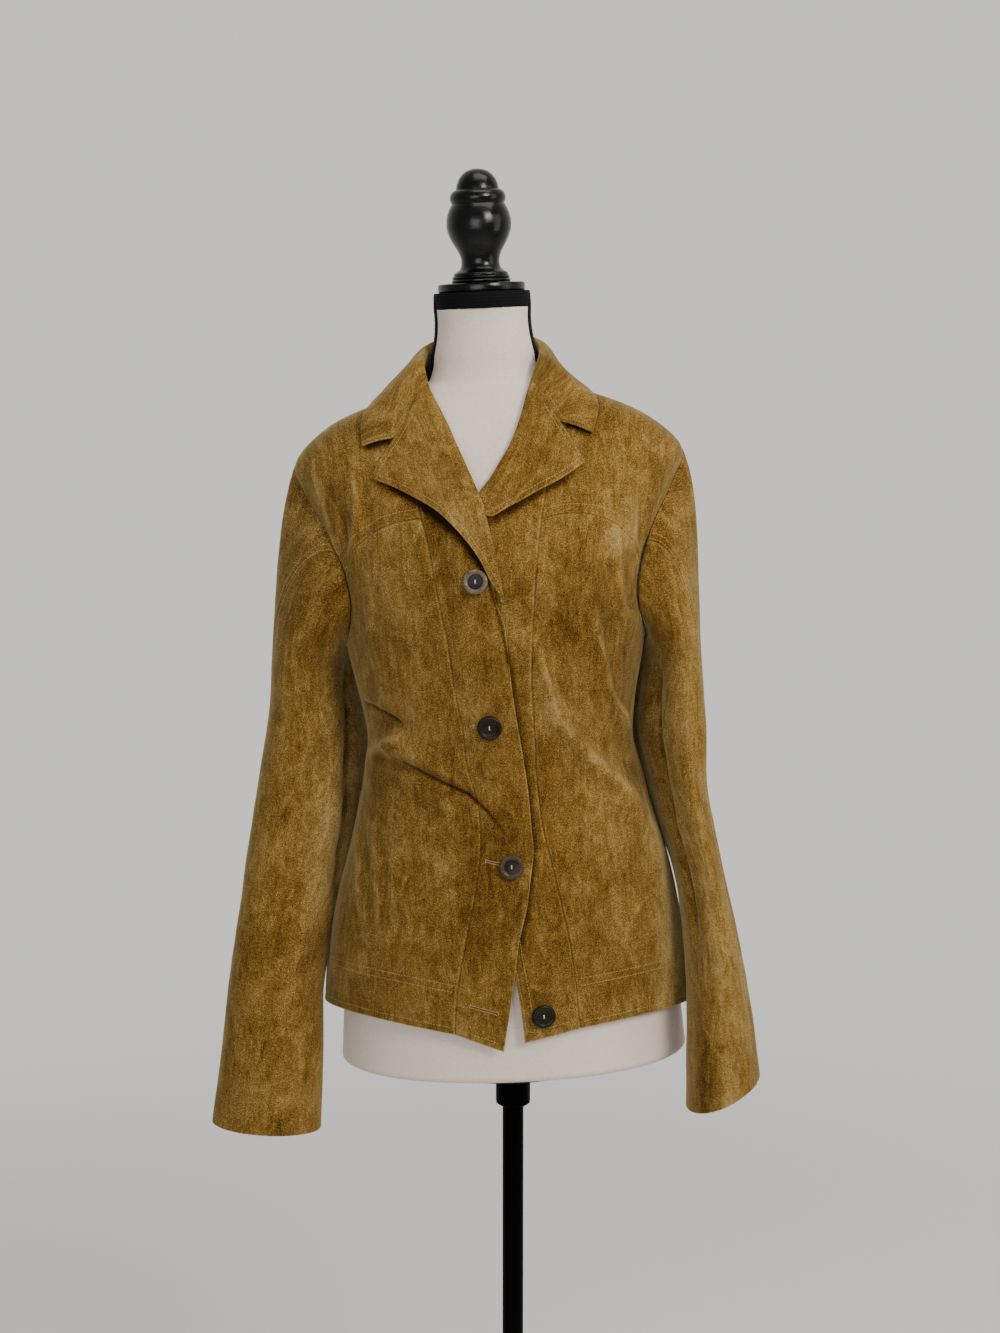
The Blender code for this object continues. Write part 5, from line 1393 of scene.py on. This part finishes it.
def floor_paint():
    """Plain pale matt paint, whose far part lets the background through."""
    made, tree, bsdf = shader("floor_paint", 0.9, Specular_IOR_Level=0.1)
    bsdf.inputs["Base Color"].default_value = (0.80, 0.79, 0.77, 1.0)
    far = node(tree, "VectorMath", [(0, object_place(tree))], operation="LENGTH").outputs["Value"]
    solid = mapped(tree, far, *FLOOR_FADE, 1.0, 0.0, interpolation_type="SMOOTHSTEP")
    tree.links.new(solid, bsdf.inputs["Alpha"])
    return made


CORDUROY = corduroy()
CORD_THREAD = thread("cord_thread", (0.27, 0.160, 0.044), (0.47, 0.305, 0.105))
BUTTON_THREAD = thread("button_thread", (0.42, 0.31, 0.17), (0.66, 0.53, 0.34))
PALE_HORN = horn("pale_horn", (0.066, 0.047, 0.026), (0.215, 0.160, 0.095), 0.34)
BROWN_HORN = horn("brown_horn", (0.024, 0.0165, 0.0085), (0.085, 0.060, 0.032), 0.34)
DARK_HORN = horn("dark_horn", (0.0048, 0.0031, 0.0018), (0.0200, 0.0135, 0.0078), 0.34)
BLUE_HORN = horn("blue_horn", (0.0040, 0.0042, 0.0042), (0.0130, 0.0132, 0.0130), 0.40)
# Painted shadow: a dark thread along each buttonhole's slit stands for the shade inside it.
PAINTED_SLIT_SHADOW = thread("slit_shadow", (0.012, 0.006, 0.002), (0.03, 0.015, 0.005))
LINEN, LACQUER, IRON, BLACK_BRAID = linen(), lacquer(), iron(), black_braid()
# How each button leans, across and up, and its rim and middle.
BUTTON_LOOKS = [((0.05, -0.10), PALE_HORN, BLUE_HORN), ((0.04, -0.06), DARK_HORN, DARK_HORN),
                ((-0.03, -0.05), BROWN_HORN, DARK_HORN), ((-0.12, 0.10), DARK_HORN, DARK_HORN)]


# ==== Buttons and buttonholes ================================================

BUTTON_SIDES = 56
# Radius and height from the back, as shares of the button's own radius and thickness.
RIM_PROFILE = [(0.30, 0.02), (0.78, 0.0), (0.93, 0.12), (0.99, 0.32), (1.0, 0.52), (0.985, 0.72),
               (0.94, 0.90), (0.88, 0.98), (0.82, 1.0), (0.76, 0.97), (0.70, 0.88), (0.665, 0.80)]
DISH_PROFILE = [(0.660, 0.80), (0.645, 0.70), (0.61, 0.655), (0.50, 0.62), (0.34, 0.60), (0.16, 0.59),
                (0.0, 0.588)]
DISH_RADIUS = 0.64       # the dish has its own look within this share of the button's radius
HOLE_RADIUS, HOLE_APART, HOLE_SIDES = 1.05 * MM, 3.6 * MM, 20
HOLE_FLOOR = 0.60        # the dish's floor, as a share of the button's thickness
# Radius as a share of the hole's own, and height over the dish in metres.
HOLE_PROFILE = [(1.25, 0.0), (1.12, 0.16 * MM), (1.0, 0.10 * MM), (0.9, -0.3 * MM), (0.0, -0.34 * MM)]
STRANDS, STRANDS_APART, STRAND_RADIUS = 4, 0.32 * MM, 0.26 * MM     # of thread through a hole
SHANK_THREAD, SHANK_SIDES = 1.8 * MM, 10


def lie_of(x, height, side):
    """Place, outward, across and up directions on a front, on the cloth as it lies there."""
    x, height = np.array([x * MM]), np.array([height * MM])
    angle = front_angle(x, height)
    foot = on_body(angle, height, lift_of(side, x, height) + body_relief(angle, height))
    out = body_normal(angle, height)
    foot, out = (foot + out * ripple(foot)[:, None])[0], out[0]
    across = unit(np.cross(np.array([0.0, 0.0, -1.0]), out))
    return foot, out, across, np.cross(out, across)


def lathe(profile, centre, out, across, up, sides):
    """Points of rings about a direction, from rows of radius and distance along it."""
    turn = np.linspace(0, 2 * math.pi, sides, endpoint=False)
    spoke = np.cos(turn)[:, None] * across + np.sin(turn)[:, None] * up
    return np.array([centre + out * d + spoke * r for r, d in profile])


def button(number, x, height, side, tilt, rim, dish):
    """A two-hole button: a rounded rim, a dished middle with its holes, and the thread through them."""
    foot, out, across, up = lie_of(x, height, side)
    out = unit(out + across * tilt[0] + up * tilt[1])
    across = unit(across - out * (across @ out))
    up = np.cross(out, across)
    base = foot + out * (SHANK_HEIGHT * 0.9 + SEAM_GAP)
    scale = np.array([BUTTON_RADIUS, BUTTON_THICK])
    profile = np.concatenate([RIM_PROFILE, DISH_PROFILE]) * scale
    rings = leaned(lathe(profile, base, out, across, up, BUTTON_SIDES))
    faces = capped_faces(len(profile), BUTTON_SIDES)[:-1]
    body = add(f"horn_button_{number}", rings.reshape(-1, 3), faces, [rim, dish],
               [f"button_{number}"])
    facing_out(body)
    for polygon in body.data.polygons:
        inside = (Vector(polygon.center) - Vector(leaned(base))).length < DISH_RADIUS * BUTTON_RADIUS
        polygon.material_index = 1 if inside else 0
    floor = base + out * BUTTON_THICK * HOLE_FLOOR
    hole_profile = np.array(HOLE_PROFILE) * np.array([HOLE_RADIUS, 1.0])
    hole_points, hole_faces, strands = [], [], []
    for way in (-1, 1):
        centre = floor + up * way * HOLE_APART / 2
        rings = leaned(lathe(hole_profile, centre, out, across, up, HOLE_SIDES))
        start = len(hole_points) * len(hole_profile) * HOLE_SIDES
        hole_faces += grid_faces(len(hole_profile), HOLE_SIDES, start, closed=True).tolist()
        hole_points.append(rings.reshape(-1, 3))
        for k in range(STRANDS):
            off = STRANDS_APART * (k - (STRANDS - 1) / 2)
            # From inside the hole, over its rim, to the middle of the button.
            strands.append([centre - out * 0.25 * MM + across * off,
                            centre + out * (0.42 - 0.05 * k) * MM + across * off * 0.9 - up * way * 0.35 * MM,
                            floor + out * (0.55 + 0.06 * k) * MM + across * off * 0.7])
    holes = add(f"button_holes_{number}", np.concatenate(hole_points), hole_faces, dish)
    facing_out(holes)
    tubes(f"button_thread_{number}", leaned(strands), STRAND_RADIUS, BUTTON_THREAD)
    shank = [foot - out * 0.4 * MM, foot + out * 0.5 * MM, base + out * 0.3 * MM]
    tubes(f"button_shank_{number}", leaned([shank]), SHANK_THREAD, BUTTON_THREAD, SHANK_SIDES)


def facing_out(thing):
    """Turns every face of a piece outwards."""
    work = bmesh.new()
    work.from_mesh(thing.data)
    bmesh.ops.recalc_face_normals(work, faces=work.faces)
    work.to_mesh(thing.data)
    work.free()


def tubes(name, lines, radius, finish, sides=6):
    """Round threads along smooth lines of points, joined into one piece."""
    points, faces = [], []
    for line in lines:
        smooth = along(line, np.linspace(0, 1, 4 * len(line)))
        ahead = unit(np.gradient(smooth, axis=0))
        first = unit(np.cross(ahead, np.where(np.abs(ahead[:, :1]) < 0.9, [[1.0, 0, 0]], [[0, 1.0, 0]])))
        second = np.cross(ahead, first)
        turn = np.linspace(0, 2 * math.pi, sides, endpoint=False)
        ring = smooth[:, None] + radius * (np.cos(turn)[None, :, None] * first[:, None]
                                           + np.sin(turn)[None, :, None] * second[:, None])
        faces += capped_faces(len(smooth), sides, sum(map(len, points)))
        points.append(ring.reshape(-1, 3))
    return add(name, np.concatenate(points), faces, finish)


EDGES_OFF, EYELET_AT, SLIT_OVER = 1.05, 0.86, 0.06   # mm beside the slit, share along it, mm over the cloth
BARS = [(-0.03, 2.3), (1.04, 1.4)]      # share along the hole, and half the bar's height in millimetres
# Columns: x and height of both ends, the front it is in.
BUTTONHOLES = [(-30, 1207, -12, 1207, "right"), (-24, 1067, -6, 1065.5, "right"), (-18, 933, 8, 927, "right"),
               (-39.5, 789, -13.5, 781, "right")]


def buttonholes():
    """Slits with close stitches round them, a bar at one end and an eyelet at the other; each slit is a thin
    dark tube, a painted shadow.
    """
    lines, bars, slits = [], [], []
    shares = np.linspace(0, 1, 14)
    for x0, z0, x1, z1, side in BUTTONHOLES:
        run = math.hypot(x1 - x0, z1 - z0)

        def line_at(places):
            """Points and outward directions at places: shares along the hole, millimetres beside it."""
            found = []
            for share, off in places:
                x, z = x0 + (x1 - x0) * share, z0 + (z1 - z0) * share
                found.append(lie_of(x - off * (z1 - z0) / run, z + off * (x1 - x0) / run, side)[:2])
            feet, outs = zip(*found)
            return np.array(feet), np.array(outs)

        for off in (-EDGES_OFF, EDGES_OFF):
            feet, outs = line_at([(share, off * (1 + 0.5 * ease((share - EYELET_AT) / (1 - EYELET_AT))))
                                  for share in shares])
            lines.append((leaned(feet), outs))
        for share, height in BARS:
            feet, outs = line_at([(share, off) for off in np.linspace(-height, height, 6)])
            bars.append((leaned(feet), outs))
        feet, outs = line_at([(share, 0) for share in shares])
        slits.append(leaned(feet + outs * SLIT_OVER * MM))
    stitches("buttonhole_edges", lines, CORD_THREAD, 0.55 * MM, (0.70 * MM, 1.25 * MM), 0.22 * MM)
    stitches("buttonhole_bars", bars, CORD_THREAD, 0.5 * MM, (0.62 * MM, 1.2 * MM), 0.18 * MM)
    tubes("buttonhole_slits", slits, 0.42 * MM, PAINTED_SLIT_SHADOW)


# ==== The dress form and its stand ===========================================

def ringed(name, rings, finish, node_name):
    """A closed piece from rings of points."""
    made = add(name, rings.reshape(-1, 3), capped_faces(*rings.shape[:2]), finish, [node_name])
    facing_out(made)
    return made


def upright_rings(profile, sides=96):
    """Rings about the Z axis, from rows of radius and height in millimetres."""
    return lathe(np.array(profile) * MM, np.zeros(3), *np.roll(np.eye(3), 1, axis=0), sides)


def turned(name, rings, finish, slot, node_name):
    """A turned piece, whose edges show sharp."""
    ringed(name, rings, finish, node_name).data.set_sharp_from_angle(angle=math.radians(38))


def form_rings(heights, around):
    """Rings of the form's cover, which is the body surface set inwards, and its neck."""
    inset = by_height(FORM_INSET, INSET_COLUMNS, "inset")
    neck = [by_height(NECK_RINGS, BODY_COLUMNS, name) for name in BODY_COLUMNS[1:]]
    rings = []
    for z in heights:
        if z <= FORM_TOP:
            slack = WAIST_SLACK * math.exp(-(((z - WAIST) / WAIST_RUN) ** 2))
            ring = on_body(around, np.full_like(around, z), -inset(z) - slack + 0 * around)
            if z > ARM_PLATE_FROM:
                ring[:, 0] = np.clip(ring[:, 0], -ARM_PLATE, ARM_PLATE)
        else:
            sizes = (size(np.maximum(z, NECK_RINGS[0][0] * MM)) for size in neck)
            ring = ring_point(around, np.full_like(around, z), *sizes)
        rings.append(ring)
    return np.array(rings)


def form_cover():
    around = np.radians(np.linspace(-180, 180, 120, endpoint=False))
    neck = [row[0] * MM for row in NECK_RINGS]
    heights = np.concatenate([[TORSO_BOTTOM] * 2, np.linspace(TORSO_BOTTOM + 0.006, 1.28, 90),
                              np.linspace(1.285, FORM_TOP, 34), np.linspace(neck[0], neck[-1], 30)])
    rings = form_rings(heights, around)
    rings[:2, :, 2] = TORSO_BOTTOM
    rings[0, :, :2] *= 0.97     # a small chamfer round the underside
    ringed("form_cover", leaned(rings), LINEN, "form_torso")


TRIM_MIDDLE, TRIM_HALF, TRIM_THICK = math.radians(83), math.radians(10), 1.7 * MM
TRIM_KNIT, TRIM_SUNK, TRIM_EDGE = 0.12 * MM, 0.6 * MM, 0.3 * MM


def neck_trims():
    """Black braid down both sides of the neck and on under the collar."""
    heights = np.concatenate([np.linspace(1.4690, 1.386, 40), np.linspace(1.380, 1.330, 12)])
    run = np.linspace(-1, 1, 13)
    for name, sign in (("right", -1), ("left", 1)):
        place = form_rings(heights, sign * (TRIM_MIDDLE + run * TRIM_HALF))
        out = place * np.array([1.0, 1.0, 0.0])
        knit = TRIM_KNIT * np.cos(np.arange(len(heights)) * math.pi)[:, None] * (1 - run**2)
        lift = (TRIM_THICK + TRIM_EDGE) * (1 - run**4) ** 0.5 - TRIM_EDGE + knit
        both = np.stack([leaned(place + unit(out) * lift[..., None]), leaned(place - unit(out) * TRIM_SUNK)])
        facing_out(add(f"neck_trim_{name}", both.reshape(-1, 3), wall_faces(*place.shape[:2]).tolist(),
                       BLACK_BRAID))


BAND_RIBS, BAND_TEETH = 5, 96
# In millimetres: the band's radius, how far its middle swells, its ribs and knit, its top and its zigzag.
BAND_RADIUS, BAND_SWELL, BAND_RIB, BAND_KNIT, BAND_TOP, BAND_ZIGZAG = 47.1, 0.75, 0.16, 0.13, 1478.0, 0.9


def neck_band():
    """The ribbed black band round the top of the neck, finely zigzagged at its lower edge."""
    turn = np.linspace(0, 2 * math.pi, 480, endpoint=False)
    up = np.linspace(0, 1, 26)
    low = NECK_RINGS[-1][0] + 0.3
    radius = BAND_RADIUS + BAND_SWELL * np.sin(math.pi * up) ** 0.5
    radius = radius + BAND_RIB * np.cos(up * BAND_RIBS * 2 * math.pi)
    up = up[:, None]
    knit = BAND_KNIT * np.cos(turn[None, :] * BAND_TEETH + np.floor(up * BAND_RIBS) * math.pi)
    ring = (radius[:, None] + knit * np.sin(math.pi * up) ** 0.5) * MM
    zigzag = BAND_ZIGZAG * (1 - np.abs(np.sin(turn * BAND_TEETH / 2))) * (1 - up) ** 6
    z = low + (BAND_TOP - low) * up + zigzag
    points = np.stack([ring * np.cos(turn), ring * np.sin(turn), z * MM + 0 * ring], axis=-1)
    ringed("neck_band", leaned(points), BLACK_BRAID, "form_neck_band")


# Turned profiles, rows of radius and height in millimetres.
DISC_PROFILE = [(41.2, 1478.2), (42.6, 1478.6), (43.0, 1479.6), (43.0, 1484.8), (42.6, 1485.9),
                (41.4, 1486.6)]
FINIAL_PROFILE = [
    (24, 1487.1), (28.4, 1487.2), (29.0, 1488.0), (29.1, 1489.4), (28.4, 1490.4), (27.6, 1490.7),
    (28.2, 1491.2), (28.5, 1492.3), (27.9, 1493.4), (26.6, 1493.9), (26.9, 1494.6), (26.8, 1495.8),
    (25.8, 1496.9),
    (23.2, 1498.2), (20.9, 1500.0), (19.3, 1502.6), (18.7, 1506.2), (18.8, 1509.6), (19.7, 1513.2),
    (21.6, 1517.6), (24.3, 1522.2), (27.2, 1527.2), (29.7, 1532.4), (31.4, 1537.8), (32.0, 1543.0),
    (31.7, 1548.2), (30.6, 1553.4), (28.8, 1558.0), (26.9, 1561.6), (25.8, 1563.0), (25.9, 1563.8),
    (26.7, 1565.0), (27.4, 1567.0), (27.5, 1569.4), (26.9, 1572.0), (25.6, 1574.2), (23.9, 1575.6),
    (21.9, 1576.4), (21.1, 1577.0), (20.9, 1578.6), (20.1, 1582.0), (18.4, 1586.2), (15.6, 1590.3),
    (11.9, 1593.6), (7.9, 1595.5), (3.9, 1596.4), (1.6, 1596.8), (0.4, 1596.9)]
PLATE_PROFILE = [(99, 698.0), (101.4, 698.4), (102.0, 700), (102.0, 703.8), (101.2, 705.0), (99, 705.5)]
BASE_PROFILE = [(154, 0), (157.6, 0.2), (159.4, 1.4), (160, 3.4), (160, 8.6), (159.2, 10.9), (157.0, 12.6),
                (152, 13.4), (120, 14.3), (82, 15.4), (62, 16.2), (48, 17.4), (38, 19.2), (33.6, 21.0),
                (31.0, 23.6), (30, 27), (30, 50), (29.5, 53), (28.4, 54.6), (26.5, 55.0)]
# The socket stands upright round the pole, and its top leans with the form.
SOCKET_PROFILE = [(18, POLE_TOP / MM + 3), (18, 668), (18.4, 675), (21, 681.5), (28, 688), (33.4, 690.6)]
SOCKET_TOP_PROFILE = [(35.6, 692.4), (36, 693.4), (36, 696.8), (35.4, 697.7)]


def dress_form():
    form_cover()
    neck_trims()
    neck_band()
    for name, profile, node_name in (("neck_disc", DISC_PROFILE, "form_neck_disc"),
                                     ("finial", FINIAL_PROFILE, "form_finial"),
                                     ("form_base_plate", PLATE_PROFILE, "form_plate")):
        turned(name, leaned(upright_rings(profile)), LACQUER, "black_wood", node_name)
    turned("base_disc", upright_rings(BASE_PROFILE), IRON, "black_iron", "stand_base")
    radius, foot, top = POLE_RADIUS / MM, BASE_PROFILE[-1][1] + 0.3, POLE_TOP / MM
    pole = [(radius - 0.4, foot), (radius, foot + 0.4), (radius, 400), (radius, top - 0.4),
            (radius - 0.4, top)]
    turned("pole", upright_rings(pole, 48), IRON, "black_iron", "stand_pole")
    lower = upright_rings([(16.6, top + 0.3), (17.8, top + 1.2), *SOCKET_PROFILE], 64)
    upper = leaned(upright_rings(SOCKET_TOP_PROFILE, 64))
    ringed("socket", np.concatenate([lower, upper]), IRON, "stand_socket")


# ==== Floor, light and camera ================================================

FLOOR_REACH, FLOOR_UNDER = 6.0, 0.5 * MM


def floor():
    """A plain pale floor that fades into the background."""
    mesh = bpy.data.meshes.new("floor")
    corners = [(x * FLOOR_REACH, y * FLOOR_REACH, -FLOOR_UNDER)
               for x, y in ((-1, -1), (1, -1), (1, 1), (-1, 1))]
    mesh.from_pydata(corners, [], [(0, 1, 2, 3)])
    mesh.materials.append(floor_paint())
    link("floor", mesh)


# Columns: name, place, what it is aimed at, width and height, power, colour.
LAMPS = [
    ("window", (1.7, -2.3, 2.7), (0, 0, 1.15), (1.0, 1.0), 69, (1.0, 0.965, 0.92)),
    ("room", (-0.6, -2.9, 1.5), (0, 0, 1.1), (1.6, 1.6), 29, (0.97, 0.98, 1.0)),
    ("ceiling", (0.35, -0.35, 3.0), (0.3, 0.3, 1.3), (1.6, 0.9), 17, (1.0, 0.98, 0.95)),
    ("side_window", (1.55, -0.55, 1.5), (0.2, 0.2, 1.15), (0.7, 1.5), 6, (1.0, 0.985, 0.96)),
]
DIM, BRIGHT = 0.32, 0.84   # strength of the surroundings, in front of the stand and behind it


def area_light(name, place, aim, size, power, colour):
    data = bpy.data.lights.new(name, "AREA")
    data.shape = "RECTANGLE"
    data.size, data.size_y = size
    data.energy = power
    data.color = colour
    lamp = link(name, data)
    lamp.location = place
    lamp.rotation_euler = (Vector(aim) - Vector(place)).to_track_quat("-Z", "Y").to_euler()


def lights():
    for row in LAMPS:
        area_light(*row)
    world = bpy.data.worlds.new("studio")
    world.use_nodes = True
    tree = world.node_tree
    forward = node(tree, "SeparateXYZ", [(0, node(tree, "TexCoord").outputs["Generated"])]).outputs[1]
    glow = mapped(tree, forward, -0.25, 0.75, DIM, BRIGHT, interpolation_type="SMOOTHSTEP")
    tree.nodes["Background"].inputs[0].default_value = (1.0, 0.985, 0.955, 1.0)
    tree.links.new(glow, tree.nodes["Background"].inputs[1])
    bpy.context.scene.world = world


CAMERA_PLACE = (-0.0137, -2.1, 1.45)
CAMERA_DOWN = math.radians(9.369)
LENS, SENSOR = 56.7, 36.0


def camera():
    data = bpy.data.cameras.new("camera")
    data.lens, data.sensor_width, data.sensor_fit = LENS, SENSOR, "AUTO"
    data.clip_start = 0.05
    made = link("camera", data)
    made.location = CAMERA_PLACE
    made.rotation_euler = (math.radians(90) - CAMERA_DOWN, 0, 0)
    bpy.context.scene.camera = made


def main():
    camera()
    threads = []
    for side in ("right", "left"):
        for sew in (fronts, back, lapel, sleeve):
            threads += sew(side)
    threads += collar()
    half = len(threads) // 2
    stitches("top_stitching_1", threads[:half], CORD_THREAD)
    stitches("top_stitching_2", threads[half:], CORD_THREAD)
    for number, (place, looks) in enumerate(zip(BUTTON_PLACES, BUTTON_LOOKS), start=1):
        button(number, *place, *looks)
    buttonholes()
    dress_form()
    floor()
    lights()


main()
